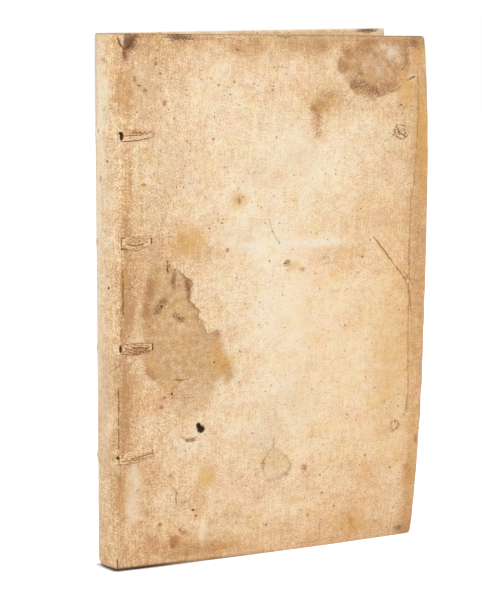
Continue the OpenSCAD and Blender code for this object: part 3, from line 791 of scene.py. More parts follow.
BROWN_SPOTS = (
    (23, 320, 1.2, 0.7), (22, 312, 1.4, 1.2), (25, 306, 1.2, 0.9), (15, 296, 1.6, 1.2), (8, 303, 1, 2),
    (28, 288, 1.4, 1.6), (65, 299, 0.9, 0.9), (76, 301, 0.8, 0.8), (62, 266, 1, 1), (44, 265, 0.8, 0.8),
    (35, 279, 0.9, 0.9), (15, 239, 2, 1), (103, 189, 0.8, 0.8), (29, 101, 1.4, 1.2), (31, 107, 1.2, 1),
    (146, 36, 0.9, 0.9), (156, 26, 1, 1), (105, 19, 1, 1), (29, 27, 1.6, 1.3), (144, 48, 0.8, 0.8),
    (116, 188, 2.2, 1.4), (202, 89, 0.8, 0.8), (198, 48, 1, 1), (136, 22, 0.9, 0.9), (73, 197, 1.4, 1.6),
    (178, 58, 0.9, 0.9), (10, 200, 1, 1.4), (43, 22, 1.4, 1.2), (38, 12, 1.8, 1.6), (81, 227, 0.7, 1.9),
)

# Stains with a tide line. Each point is distance from the joint and height
TIDE_OUTLINE = (
    (21, 188), (28, 190), (34, 190), (38, 187), (42, 183), (47, 180), (49, 178), (48, 172), (47, 168),
    (51, 163), (55, 159), (54, 156), (56, 153), (59, 148), (60, 145), (63, 146), (66, 148), (69, 145),
    (71, 137), (74, 128), (81, 118), (74, 113), (68, 117), (66, 112), (64, 105), (58, 98), (50, 94),
    (42, 93), (36, 105), (30, 113), (25, 117), (20, 121), (17, 129), (18, 137), (15, 147), (14, 158),
    (16, 168), (18, 181),
)
TIDE_SHARP = (
    (51, 165, 11, 20, 1.5), (45, 181, 9, 8, 1.6), (60, 148, 6, 7, 1.1), (66, 147, 7, 5, 0.8),
    (20, 123, 6, 8, 0.9),
)
# Where the grain is rough, and where the stain is dry, listed as the tints are
ROUGH_ZONES = ((45, 145, 26, 50, 0.45), (180, 310, 26, 20, 0.4))
DRIER = ((50, 101, 18, 15, 0.55), (38, 152, 11, 12, 0.2), (28, 183, 8, 10, 0.25), (176, 311, 13, 10, 0.12))
RING_OUTLINE = (
    (109, 70.5), (103.5, 64.5), (101, 58.5), (102.5, 51.5), (107, 46.5), (114, 48.5), (119.5, 52),
    (122, 55), (120.5, 59.5), (116.5, 64), (113.5, 67.5),
)
CORNER_OUTLINE = (
    (176, 330), (168, 328), (158, 321), (152, 315), (151, 309), (154, 306), (159, 303), (160, 299),
    (163, 293.5), (170, 290.5), (177, 290), (182, 292.3), (188, 294), (194, 295.5), (199, 299), (202, 305),
    (206, 310), (206, 317), (205, 322), (206, 330),
)
CORNER_SHARP = ((152, 312, 6, 7, 0.9), (190, 294, 10, 4, 0.6), (205, 315, 5, 12, 0.5), (158, 320, 6, 4, 0.5))

# Lines on the skin: what they are, and their points
LINES = (
    ("tear", ((180, 200.5), (189.5, 189.5), (196, 182.5), (204, 172.5), (207.5, 163.5), (209, 153.5))),
    ("turn", ((182, 291.5), (188, 293.3), (194, 294.8), (199, 298))),
    ("turn", (
        (212.5, 306), (212.5, 291), (212, 278), (210.5, 256), (209, 237), (207, 224), (206.5, 198),
        (207, 165),
    )),
    ("turn", ((207.2, 160), (207.5, 132), (209, 99), (208, 87))),
    ("faint", ((208.5, 172), (214, 171.5))),
    ("crease", ((40, 46.5), (40, 39))),
    ("faint", ((38.5, 49), (40, 46.5), (42.5, 49))),
    ("crack", ((205, 302), (209, 303.5))),
    ("crack", ((0.2, 6), (0.2, 2.5))),
    ("faint", ((167, 19), (170, 13), (174, 8))),
    ("crease", ((1.6, 186), (2, 173), (2.2, 161))),
    ("turn", ((1, 186), (1.2, 161), (1, 146))),
    ("crease", ((-0.5, 113), (0, 104), (-0.1, 92), (0.4, 78))),
    ("faint", ((0.5, 64), (0.9, 55), (0.7, 44))),
    ("crack", ((32, 190.5), (32, 186.5))),
    ("faint", ((24.5, 186), (24.5, 181))),
    ("crack", ((-3.6, 326.5), (-2.6, 323.4), (0.8, 320.4), (4.2, 322.2), (6.2, 326))),
    ("smudge", ((8, 328.5), (4.5, 323.5), (1, 319.5), (1.4, 315))),
    ("smudge", ((36, 183), (36, 175.5))),
    ("smudge", ((45.5, 179), (46.5, 173), (47, 169))),
    ("pencil", ((192, 265.8), (193.6, 267.8), (193.4, 270.2), (195, 272.6))),
    ("pencil", ((194.6, 266.2), (197.2, 264.4), (200.6, 263.8), (202.4, 265))),
    ("pencil", ((194.4, 268.6), (196.4, 266.9), (198.4, 267.6), (200.4, 266.6))),
    ("pencil", ((195.4, 270.4), (197.4, 269.4), (199, 269.8))),
    ("crease", ((198.6, 272.9), (200.8, 272.7))),
    ("pencil", ((199.6, 269.6), (201.4, 271.2), (202.4, 269.4), (201.6, 267.4))),
    ("pencil", ((198.2, 78.4), (200.4, 79.6), (202.6, 78.8), (203.2, 76.4), (201.6, 74.2), (199.4, 73.2))),
    ("faint", ((197.4, 78), (197.2, 75.4), (198.4, 73.4))),
    ("faint", ((103, 213.5), (104.5, 207.5), (106.5, 203.5), (109.5, 201))),
    ("faint", ((114, 48.5), (119.5, 52), (122, 55), (120.5, 59.5), (116.5, 64))),
    ("faint", ((109, 76), (108.6, 70.5), (103.5, 64.5), (101, 58.5), (102.5, 51.5))),
    ("tear", ((38, 117.5), (45, 117.3))),
    ("tear", ((44.2, 80.6), (46.5, 79), (49.5, 78.6), (52, 79.8))),
    ("tear", ((46.8, 78.4), (49, 77.5), (51.6, 78.2))),
)

LINE_KINDS = {"crease": 1, "turn": 2, "crack": 3, "faint": 4, "smudge": 5, "tear": 6, "pencil": 7}
MARK_KINDS = {"black": 1, "brown": 2, "speck": 3}

# Crusts that have flaked, listed as the blots are
CRUSTS = (
    (163, 299, 5, 5, 1.3), (170, 299, 5, 5, 1.4), (177, 296, 6, 4, 1.5), (168, 306, 5, 4, 0.9),
    (181, 293, 3, 2, 1.3), (29.5, 167, 4.5, 4, 1.4), (27.5, 164.2, 4, 4, 1.4), (25, 161, 4, 4, 1.3),
    (38, 158, 4, 3, 1.2), (41.5, 155, 4.5, 2.8, 1.3), (206.5, 302.5, 3, 1.5, 0.6),
)
# How much smaller a dark speck is drawn than it is listed, as its edge is soft
SPECK_SHARE = 0.72
# The widest gap between points of the skin, and a distance that counts as out of reach
POINT_STEP = 2.6
FAR = 99.0


def hills(s, z, zones):
    """Sum of soft hills, each with its middle, half width, half height and amount."""
    total = 0 * s
    for u, v, wide, high, amount in zones:
        total = total + amount * np.exp(-((s - u) / wide) ** 2 - ((z - v) / high) ** 2)
    return total


def cones(s, z, zones):
    """Highest of several cones, each from its strength in the middle to 0 at its edge and below 0 outside."""
    top = np.full_like(s, -1.0)
    for u, v, wide, high, amount in zones:
        top = np.maximum(top, amount * (1 - np.hypot((s - u) / wide, (z - v) / high)))
    return top


def outline_distance(s, z, outline):
    """Distance from a closed outline, negative inside."""
    closed = (*outline, outline[0])
    inside = np.zeros(s.shape, bool)
    for (ax, az), (bx, bz) in zip(closed, closed[1:]):
        crosses = (az > z) != (bz > z)
        inside ^= crosses & (s < (bx - ax) * (z - az) / (bz - az + 1e-9) + ax)
    return np.where(inside, -1.0, 1.0) * line_distance(s, z, closed)


def tide_field(s, z, outline, sharp, soft_w):
    """Distance from a stain's edge, its sharpness there and the strength of its tide line."""
    edge = np.clip(cones(s, z, sharp), 0, 1)
    return [outline_distance(s, z, outline), 1 / (soft_w + (0.8 - soft_w) * edge), edge]


def line_field(s, z, lines):
    """Signed distance from the nearest line, distance beyond its ends, and the line's kind."""
    best = np.full_like(s, FAR)
    found = [np.full_like(s, FAR), np.full_like(s, FAR), 0 * s]
    for kind, points in lines:
        pairs = list(zip(points, points[1:]))
        for k, ((ax, az), (bx, bz)) in enumerate(pairs):
            length = math.hypot(bx - ax, bz - az)
            along = ((s - ax) * (bx - ax) + (z - az) * (bz - az)) / length
            off = ((s - ax) * (bz - az) - (z - az) * (bx - ax)) / length
            before, after = np.maximum(-along, 0), np.maximum(along - length, 0)
            far = np.hypot(off, before + after)
            loose = before * (k == 0) + after * (k == len(pairs) - 1)
            signed = np.where(loose > 0, off, np.copysign(far, off))
            beyond = np.where(far > POINT_STEP + 1, FAR, loose)
            nearer = far < best
            best = np.where(nearer, far, best)
            for values, new in zip(found, (signed, beyond, float(LINE_KINDS[kind]))):
                values[nearer] = (new + 0 * s)[nearer]
    return found


def spread_marks(marks, layers):
    """Deals marks into layers, so that no two in a layer are close together."""
    dealt = [[] for _ in range(layers)]
    for mark in sorted(marks, key=lambda m: -m[2]):
        room = [min([math.hypot(mark[0] - o[0], mark[1] - o[1]) - o[2] for o in layer] + [FAR])
                for layer in dealt]
        free = [k for k, space in enumerate(room) if space > mark[2] + 2 * POINT_STEP]
        dealt[free[0] if free else int(np.argmax(room))].append(mark)
    return dealt


def mark_field(s, z, marks):
    """Place relative to the nearest mark, in its half widths, and the mark's kind, which is 0 far from it."""
    best = np.full_like(s, FAR)
    found = [np.full_like(s, FAR), np.full_like(s, FAR), 0 * s]
    for u, v, wide, high, kind in marks:
        far = np.hypot(s - u, z - v) - max(wide, high)
        nearer = far < best
        best = np.where(nearer, far, best)
        known = ((s - u) / wide, (z - v) / high, np.where(far > POINT_STEP, 0.0, kind))
        for values, new in zip(found, known):
            values[nearer] = new[nearer]
    return found


def random_marks(seed, count, low_s, high_s):
    """Plain small marks for the parts that the photograph doesn't show."""
    rng = np.random.default_rng(seed)
    marks = []
    for _ in range(count):
        r = rng.uniform(0.4, 1.1)
        kind = MARK_KINDS["speck"] if rng.random() < 0.5 else MARK_KINDS["brown"]
        s, z = rng.uniform(low_s, high_s), rng.uniform(8, 322)
        marks.append((s, z, r, r * rng.uniform(0.7, 1.4), kind))
    return marks


# Painted shadow in the slits through which the slips come out: black marks where the openings lie in shade
SLIT_SHADOWS = ((-0.4, 268.3, 1.1, 2.8), (-1.1, 270.3, 1.0, 0.9), (0.2, 139.2, 0.5, 1.7), (-0.6, 71.4, 0.8, 0.9))
BLACK_BLOT = ((54.8, 87.7, 1.7, 1.9), (56.5, 85.2, 2.9, 2.6))
SPINE_DOTS = ((-12, 253, 0.8, 0.8), (-9, 176, 0.8, 0.8))
SPINE_SPOTS = ((-22.5, 271, 1.0, 1.6), (-22.5, 204, 1.0, 1.8), (-22, 137.5, 0.9, 1.4), (-20, 71, 0.9, 1.4))
SEEN_MARKS = [
    (u, z, SPECK_SHARE * wide, SPECK_SHARE * high, MARK_KINDS["speck"]) for u, z, wide, high in DARK_SPECKS
]
for found_marks, kind_name in (
    (SLIT_SHADOWS + BLACK_BLOT, "black"), (BROWN_SPOTS, "brown"), (SPINE_DOTS, "black"), (SPINE_SPOTS, "brown"),
):
    SEEN_MARKS += [(*mark, MARK_KINDS[kind_name]) for mark in found_marks]


def stain_fields(side, sheet):
    """Vectors that the parchment's material reads, for points of the skin given as s, z."""
    s, z = sheet[:, 0].copy(), sheet[:, 1].copy()
    front = side != "rear"
    turned = (s > COVER_W + 0.6) | (z < -0.6) | (z > COVER_H + 0.6)
    warm = 0.2 + 0.09 * smooth(s, 120, 200) + 0.1 * smooth(s, 198, 208) + 0.24 * smooth(s, 205, 213)
    warm = warm + 0.26 * smooth(z, 314, 327) + 0.08 * (1 - smooth(z, 20, 90)) + 0.14 * (1 - smooth(z, 3, 22))
    warm = warm + 0.12 * (1 - smooth(s, 3, 9)) + 0.16 * (1 - smooth(s, 8, 50))
    # On the spine: paler from 8 to 17 mm past the joint, painted light that makes its far side look lit, and
    # warmer low down
    on_spine = 0.4 - 0.16 * smooth(-s, 8, 17) + 0.14 * (1 - smooth(z, 90, 170))
    on_spine = on_spine + 0.08 * waves(s * 2, z, 60, 62)
    warm = warm + (on_spine - warm) * smooth(-s, -3.0, 3.0)
    if front:
        warm = warm + hills(s, z, WARM_ZONES) - hills(s, z, PALE_AND_LIT_ZONES)
    else:
        warm = warm + (0.1 * waves(s, z, 70, 61) + 0.06) * smooth(s, 0, 6)
    warm = np.where(turned, 0.18, warm) + 0.07
    # Painted shade: darkest on the tail edge near the spine, where the rounded edge and the floor under it
    # lie in shadow, and a thin line on the head edge, where the gap between the covers is in shadow
    tail_shade = smooth(z, 2.9, 1.3) * (1 - 0.6 * smooth(s, 20.0, 60.0) - 0.4 * smooth(s, 60.0, 130.0))
    head_shade = 0.45 * smooth(z, COVER_H - 1.1, COVER_H - 0.2)
    edge_shade = np.where(turned, 0.0, np.maximum(tail_shade, head_shade))
    crust, none = 0 * s, np.full_like(s, -1.0)
    tide = corner = [np.full_like(s, FAR), 0 * s + 0.3, 0 * s]
    blot, wash = [none, cones(s, z, REAR_HEAD_BLOT), none], [none] * 3
    line_sets, marks = ((), ()), random_marks(71, 60, 5, 215)
    if front:
        crust = np.clip(cones(s, z, CRUSTS), 0, 1)
        tide = tide_field(s, z, TIDE_OUTLINE, TIDE_SHARP, 3.0)
        ring = outline_distance(s, z, RING_OUTLINE)
        near_ring = ring < tide[0]
        tide = [np.where(near_ring, new, old) for new, old in zip((ring, 1.0, 0.12), tide)]
        corner = tide_field(s, z, CORNER_OUTLINE, CORNER_SHARP, 4.0)
        blot = [cones(s, z, zones) for zones in (BROWN_BLOTS, PURPLE_BLOTS, YELLOW_BLOTS)]
        wash = [cones(s, z, zones) for zones in (GREY_BLOTS, RED_BLOTS, RUBS_AND_HIGHLIGHT)]
        line_sets, marks = (LINES[0::2], LINES[1::2]), SEEN_MARKS
    soaked = 1 - 0.8 * np.exp(-((s - 111) / 22) ** 4 - ((z - 58) / 22) ** 4) - hills(s, z, DRIER)
    cracked = 0.25 + 0.75 * smooth(z, 100, 150) * (1 - smooth(z, 255, 300))
    cracked = cracked * (1 - smooth(np.abs(s - 1), 2.0, 9.0))
    rough = 1.0 + 0.8 * cracked + (0.36 + 0.2 * (s < 0)) * (1 - smooth(np.abs(s), 25, 60))
    rough = rough + hills(s, z, ROUGH_ZONES)
    # Peach cast on the right half of the front cover: partly the skin's own warmer tone, partly painted light
    # that makes up for the key lamp reaching that half less
    lit_peach_cast = np.exp(-((s - 168) / 50) ** 4 - ((z - 125) / 100) ** 4) * (s > 0)
    fields = {
        "tint": [warm, crust, edge_shade], "tide": tide, "corner": corner, "blot": blot, "wash": wash,
        "wear_and_light": [rough, soaked, lit_peach_cast],
    }
    for name, lines in zip(("line_a", "line_b"), line_sets):
        fields[name] = line_field(s, z, lines)
    for name, dealt in zip(("mark_a", "mark_b", "mark_c"), spread_marks(marks, 3)):
        fields[name] = mark_field(s, z, dealt)
    return {"sheet": sheet, **{name: np.stack(parts, -1) for name, parts in fields.items()}}


class Value:
    """Output of a node. Sums, products and so on of values make further nodes."""

    def __init__(self, shade, socket):
        self.shade = shade
        self.socket = socket

    def __add__(self, other):
        return self.shade.math("ADD", self, other)

    def __sub__(self, other):
        return self.shade.math("SUBTRACT", self, other)

    def __rsub__(self, other):
        return self.shade.math("SUBTRACT", other, self)

    def __mul__(self, other):
        return self.shade.math("MULTIPLY", self, other)

    def __truediv__(self, other):
        return self.shade.math("DIVIDE", self, other)

    def __abs__(self):
        return self.shade.math("ABSOLUTE", self)

    __radd__ = __add__


class Shade:
    """Adds nodes to a node tree and hands back their outputs."""

    def __init__(self, tree):
        self.tree = tree

    def set(self, socket, value):
        if isinstance(value, Value):
            self.tree.links.new(value.socket, socket)
        elif socket.type == "RGBA" and len(value) == 3:
            socket.default_value = (*value, 1.0)
        else:
            socket.default_value = value

    def node(self, kind, wanted, inputs=(), **settings):
        """New node with its settings, then its inputs. Returns the wanted output, or a list of them."""
        made = self.tree.nodes.new("ShaderNode" + kind)
        for name, value in settings.items():
            setattr(made, name, value)
        for key, value in dict(inputs).items():
            self.set(made.inputs[key], value)
        found = [Value(self, made.outputs[name]) for name in wanted]
        return found if len(found) > 1 else found[0]

    def field(self, name):
        return self.node("Attribute", ["Vector"], attribute_name=name)

    def parts(self, vector):
        return self.node("SeparateXYZ", ["X", "Y", "Z"], {0: vector})

    def math(self, operation, *values):
        return self.node("Math", [0], enumerate(values), operation=operation)

    def vector(self, operation, *values):
        return self.node("VectorMath", [0], enumerate(values), operation=operation)

    def noise(self, vector, scale, detail, roughness, wanted="Fac"):
        inputs = {"Vector": vector, "Scale": scale, "Detail": detail, "Roughness": roughness}
        return self.node("TexNoise", [wanted], inputs)

    def cells(self, vector, scale):
        """Distance from the nearest of scattered points, and random numbers for that point."""
        near, hashed = self.node("TexVoronoi", ["Distance", "Color"], {"Vector": vector, "Scale": scale})
        return near, self.parts(hashed)

    def step(self, value, low, high):
        """Smooth step from 0 at low to 1 at high, which may be the smaller of the two."""
        ends = {"From Min": min(low, high), "From Max": max(low, high), "To Min": float(low > high),
                "To Max": float(low < high)}
        return self.node("MapRange", ["Result"], {"Value": value, **ends}, interpolation_type="SMOOTHSTEP")

    def mix(self, share, first, second, blend="MIX"):
        """Colour between two others."""
        return self.node("Mix", [2], {0: share, 6: first, 7: second}, data_type="RGBA", blend_type=blend)

    def blend(self, share, first, second):
        """Number between two others."""
        return self.node("Mix", [0], {0: share, 2: first, 3: second})

    def ramp(self, value, stops, interpolation="CONSTANT"):
        """Colour and strength from (place, colour, strength) stops."""
        node = self.tree.nodes.new("ShaderNodeValToRGB")
        node.color_ramp.interpolation = interpolation
        elements = node.color_ramp.elements
        for k, (place, colour, strength) in enumerate(stops):
            element = elements[k] if k < 2 else elements.new(place)
            element.position = place
            element.color = (*colour, strength)
        self.set(node.inputs["Fac"], value)
        return Value(self, node.outputs["Color"]), Value(self, node.outputs["Alpha"])

    def tones(self, value, stops):
        """Colour that runs through (place, colour) stops."""
        return self.ramp(value, [(*stop, 1.0) for stop in stops], "LINEAR")[0]

    def seen(self, low, high):
        """High for rays from the camera, a gloss or a glass, and low for the rest."""
        rays = self.node("LightPath", ["Is Camera Ray", "Is Glossy Ray", "Is Transmission Ray"])
        share = self.math("MAXIMUM", self.math("MAXIMUM", rays[0], rays[1]), rays[2])
        return self.node("MapRange", ["Result"], {"Value": share, "To Min": low, "To Max": high})


class Finish(Shade):
    """The same for a material, with its surface."""

    def __init__(self, name, roughness, specular):
        self.material = bpy.data.materials.new(name)
        self.material.use_nodes = True
        super().__init__(self.material.node_tree)
        self.tree.nodes.clear()
        self.surface = self.tree.nodes.new("ShaderNodeBsdfPrincipled")
        output = self.tree.nodes.new("ShaderNodeOutputMaterial")
        self.tree.links.new(self.surface.outputs["BSDF"], output.inputs["Surface"])
        self.put("Roughness", roughness)
        self.put("Specular IOR Level", specular)

    def put(self, name, value):
        self.set(self.surface.inputs[name], value)

    def bump(self, height, strength, distance):
        inputs = {"Strength": strength, "Distance": distance * MM, "Height": height}
        self.put("Normal", self.node("Bump", ["Normal"], inputs))

    def finish(self, colour):
        self.put("Base Color", colour)
        return self.material


def rgb(red, green, blue):
    """Linear colour from the usual 0 to 255 values."""
    values = [c / 255 for c in (red, green, blue)]
    return tuple(c / 12.92 if c <= 0.04045 else ((c + 0.055) / 1.055) ** 2.4 for c in values)


# Colours of the vellum, from the palest to the most tanned, and of its stains
VELLUM_TONES = (
    (0.0, rgb(251, 236, 209)), (0.2, rgb(246, 221, 186)), (0.45, rgb(234, 197, 154)),
    (0.7, rgb(215, 173, 126)), (1.0, rgb(192, 147, 101)),
)
# Peach cast, partly painted light
LIT_PEACH_CAST = (1.0, 0.93, 0.84)
PINK_CAST = (1.0, 0.94, 0.92)
YELLOW_CAST = (1.0, 0.985, 0.87)
TIDE_FILL = rgb(198, 152, 98)
TIDE_RIM = rgb(160, 108, 70)
CORNER_FILL = rgb(186, 132, 76)
BROWN = rgb(176, 122, 74)
PURPLE = rgb(112, 78, 62)
YELLOW = rgb(226, 172, 88)
GREY = rgb(226, 205, 174)
RED = rgb(204, 142, 102)
# Whitish rubs, also used for a painted highlight
RUB_AND_HIGHLIGHT_TONE = rgb(248, 235, 212)
CRUST_DARK = rgb(122, 62, 14)
# Pale crust flecks: bare skin where flakes came away, and painted highlights on lifted flakes
CRUST_PALE_AND_HIGHLIGHT = rgb(238, 210, 176)
# Painted shade on the tail and head edges
EDGE_SHADE = rgb(60, 42, 28)
PORE = rgb(138, 88, 50)
# Lines: place by kind, colour and strength
LINE_TONES = (
    (0.0, rgb(190, 150, 108), 0.0), (0.08, rgb(142, 92, 46), 0.85), (0.22, rgb(178, 126, 74), 0.62),
    (0.36, rgb(84, 42, 12), 0.95), (0.5, rgb(184, 140, 92), 0.4), (0.64, rgb(136, 84, 50), 0.85),
    (0.78, rgb(168, 104, 48), 0.85), (0.92, rgb(100, 62, 24), 0.92),
)
MARK_TONES = (
    (0.0, rgb(150, 100, 60), 0.0), (0.2, rgb(44, 28, 18), 0.98), (0.5, rgb(174, 114, 54), 0.68),
    (0.85, rgb(86, 50, 22), 0.9),
)
# Slips and tie stubs: from flat skin to the bottom of a crease, where the dark end is painted shade
TAWED_TONES = (
    (0.0, rgb(248, 222, 184)), (0.15, rgb(240, 208, 166)), (0.35, rgb(218, 172, 124)),
    (0.6, rgb(162, 112, 72)), (0.8, rgb(108, 72, 48)), (1.0, rgb(44, 30, 22)),
)
# Paper and the brown spots on it
FOXING = rgb(184, 132, 84)
LEAF_TONES = (
    (0.0, rgb(240, 224, 192)), (0.35, rgb(224, 202, 164)), (0.7, rgb(192, 164, 124)),
    (1.0, rgb(146, 116, 82)),
)


def centred(value, amount):
    """A noise value turned into one from about -amount to amount."""
    return (value - 0.5) * (amount * 2)


def varied(base, *noises):
    """A value with noises added, each given with its amount."""
    for value, amount in noises:
        base = centred(value, amount) + base
    return base


def line_layer(shade, colour, field, wander, patchy):
    """Lays the lines of one field on the colour, and returns it with their strength."""
    off, beyond, kind = shade.parts(shade.field(field))
    off = abs(off + wander * 0.9)
    wide = shade.math("COMPARE", kind, LINE_KINDS["smudge"], 0.49)
    dotted = shade.math("COMPARE", kind, LINE_KINDS["pencil"], 0.35)
    share = shade.blend(wide, shade.step(off, 0.8, 0.15), shade.step(off, 2.9, 0.2))
    tone, strength = shade.ramp(kind / len(LINE_KINDS), LINE_TONES)
    share = share * shade.step(beyond, 3.0, 0.0) * strength * shade.blend(dotted, *patchy)
    return shade.mix(share, colour, tone), share * (1.0 - wide)


def mark_layer(shade, colour, field, ragged):
    """Lays the small marks of one field on the colour, and returns it with their strength."""
    x, y, kind = shade.parts(shade.field(field))
    far = shade.math("SQRT", x * x + y * y)
    tone, strength = shade.ramp(kind / len(MARK_KINDS), MARK_TONES)
    share = shade.step(far + ragged, 1.2, 0.7) * strength
    return shade.mix(share, colour, tone), share


def tide_layer(shade, colour, field, wander, fill, strength):
    """Lays a stain with a tide line on the colour."""
    distance, sharp, line = shade.parts(shade.field(field))
    distance = distance + wander
    colour = shade.mix(shade.step(distance * sharp, 1.0, -1.0) * strength, colour, fill)
    glow = shade.step(distance, -7.0, -0.5) * shade.step(distance, 0.6, -0.2)
    colour = shade.mix(glow * line * 0.25, colour, TIDE_RIM)
    edge = shade.step(abs(distance + 0.4), 1.0, 0.1)
    return shade.mix(edge * line * 0.75, colour, TIDE_RIM)


def parchment_shade():
    """Aged calf vellum: mottled tan, pores and grain, tide lines, blots, specks, cracks and creases."""
    shade = Finish("parchment", 0.56, 0.28)
    sheet = shade.field("sheet")
    broad = shade.noise(sheet, 0.022, 3, 0.6)
    middle = shade.noise(sheet, 0.085, 4, 0.62)
    patch = shade.noise(sheet, 0.26, 3, 0.6)
    fine = shade.noise(sheet, 0.95, 3, 0.7)
    ribs = shade.noise(shade.vector("MULTIPLY", sheet, (0.85, 0.06, 1.0)), 1.0, 3, 0.6)
    wander_x, wander_y, wander_z = shade.parts(shade.noise(sheet, 0.16, 5, 0.65, "Color"))
    casts = shade.noise(shade.vector("ADD", sheet, (310.0, 70.0, 9.0)), 0.06, 5, 0.62, "Color")
    pink, yellowed, _ = shade.parts(casts)
    # Tan, crusts and the painted shade of the edges
    warm, crust, edge_shade = shade.parts(shade.field("tint"))
    rough, soak, lit_peach_cast = shade.parts(shade.field("wear_and_light"))
    brown, purple, yellow = shade.parts(shade.field("blot"))
    grey, red, rub_and_highlight = shade.parts(shade.field("wash"))
    grain = varied(0.0, (patch, 0.36), (fine, 0.84), (ribs, 0.24))
    colour = shade.tones(varied(warm, (broad, 0.22), (middle, 0.32)) + grain * rough, VELLUM_TONES)
    colour = shade.mix(shade.step(pink, 0.45, 0.62), colour, PINK_CAST, "MULTIPLY")
    colour = shade.mix(shade.step(yellowed, 0.47, 0.66), colour, YELLOW_CAST, "MULTIPLY")
    # Peach cast on the right half, partly painted light
    colour = shade.mix(lit_peach_cast, colour, LIT_PEACH_CAST, "MULTIPLY")
    colour = shade.mix(shade.step(varied(grey, (wander_y, 0.7)), -0.15, 1.1) * 0.6, colour, GREY)
    mottle = varied(0.74, (patch, 0.6), (fine, 0.7)) * soak
    colour = tide_layer(shade, colour, "tide", centred(wander_x, 3.5), TIDE_FILL, mottle)
    colour = tide_layer(shade, colour, "corner", centred(wander_y, 4.0), CORNER_FILL, mottle)
    colour = shade.mix(shade.step(varied(yellow, (wander_x, 0.7)), -0.15, 1.1) * 0.64, colour, YELLOW)
    for amount, noise, tone, strength in (
        (red, wander_y, RED, 0.7), (brown, wander_z, BROWN, 0.8), (purple, wander_x, PURPLE, 0.92),
    ):
        share = shade.step(varied(amount, (noise, 0.5), (fine, 1.1)), 0.0, 1.0)
        colour = shade.mix(share * strength, colour, tone)
    scab = shade.noise(shade.vector("ADD", sheet, (40.0, 9.0, 3.0)), 1.0, 2, 0.6)
    dark_scab = shade.step(crust, 0.0, 0.8) * shade.step(abs(centred(scab, 1.0)), 0.22, 0.06)
    # Pale flecks in the crusts: bare skin, and painted highlights on lifted flakes
    pale_flake_and_highlight = shade.step(crust, 0.0, 0.5) * shade.step(scab, 0.52, 0.64)
    colour = shade.mix(pale_flake_and_highlight * 0.75, colour, CRUST_PALE_AND_HIGHLIGHT)
    colour = shade.mix(dark_scab * 0.7, colour, CRUST_DARK)
    # Whitish rubs, and a painted highlight along a ridge at height 199
    colour = shade.mix(shade.step(varied(rub_and_highlight, (fine, 1.65)), 0.1, 0.9) * 0.8, colour, RUB_AND_HIGHLIGHT_TONE)
    depth = dark_scab * 0.5
    broken = shade.step(patch, 0.25, 0.5) * shade.step(fine, 0.35, 0.6)
    patchy = (shade.step(patch, 0.3, 0.6) * 0.6 + 0.4, broken)
    for name in ("line_a", "line_b"):
        colour, dark = line_layer(shade, colour, name, centred(wander_y, 1.2), patchy)
        depth = depth + dark
    for name in ("mark_a", "mark_b", "mark_c"):
        colour, dark = mark_layer(shade, colour, name, varied(0.0, (fine, 0.4), (wander_x, 0.3)))
        depth = depth + dark * 0.5
    # Less gloss in the lines, the marks and the painted edge shade
    shade.put("Specular IOR Level", shade.step(shade.math("MAXIMUM", depth, edge_shade), 0.45, 0.0) * 0.28)
    near, (chance, size, _) = shade.cells(sheet, 0.3)
    pore = shade.step(near - size * 0.14, 0.12, 0.03) * shade.step(chance, 0.45, 0.95)
    colour = shade.mix(pore * 0.6, colour, PORE)
    near, (chance, _, _) = shade.cells(sheet, 0.75)
    dot = shade.step(near, 0.36, 0.12) * shade.step(chance, 0.3, 0.9)
    colour = shade.mix(dot * 0.34, colour, BROWN)
    # Painted shade along the tail and head edges
    colour = shade.mix(edge_shade * 0.9, colour, EDGE_SHADE)
    shade.bump(fine * 0.7 + ribs * 0.35 - depth * 0.9 - dot * 0.12, 0.7, 0.4)
    return shade.finish(colour)


def tawed_shade():
    """Tawed skin: pale where it lies flat, brown to black with painted shade in its creases, along its rims
    and in its slits.
    """
    shade = Finish("tawed_skin", 0.7, 0.2)
    sheet = shade.field("sheet")
    grain = shade.noise(shade.vector("MULTIPLY", sheet, (0.7, 1.0, 0.0)), 1.0, 4, 0.7)
    shade.bump(grain, 0.7, 0.4)
    return shade.finish(shade.tones(varied(shade.parts(sheet)[2], (grain, 0.9)), TAWED_TONES))


def paper_shade(name, tone, strength, distance, noises):
    """Old paper. Each noise has its stretch, detail, roughness and amount, and the first is raised."""
    shade = Finish(name, 0.85, 0.1)
    sheet = shade.field("sheet")
    found = []
    for scale, detail, rough, amount in noises:
        found.append((shade.noise(shade.vector("MULTIPLY", sheet, scale), 1.0, detail, rough), amount))
    colour = shade.tones(varied(tone, *found), LEAF_TONES)
    shade.bump(found[0][0], strength, distance)
    near, (chance, _, _) = shade.cells(sheet, 0.07)
    spot = shade.step(near, 0.09, 0.02) * shade.step(chance, 0.55, 1.0)
    return shade.finish(shade.mix(spot * 0.55, colour, FOXING))


def plain_shade(name, light, dark, scale):
    """Mottled finish between two colours, with bumps about 1 / scale millimetres long."""
    shade = Finish(name, 0.7, 0.2)
    mottle = shade.noise(shade.node("TexCoord", ["Object"]), scale / MM, 5, 0.6)
    shade.bump(mottle, 0.4, 0.3)
    return shade.finish(shade.mix(shade.step(mottle, 0.35, 0.7), light, dark))


parchment = parchment_shade()
tawed = tawed_shade()
# Edges of the leaves: a streak for every leaf, darker gatherings and dust
leaf_edges = paper_shade("leaf_edges", 0.4, 0.5, 0.3, (
    ((0.004, 0.004, 1.1), 2, 0.7, 0.8), ((0.002, 0.002, 0.14), 2, 0.5, 0.5),
    ((0.05, 0.05, 0.05), 4, 0.6, 0.1),
))
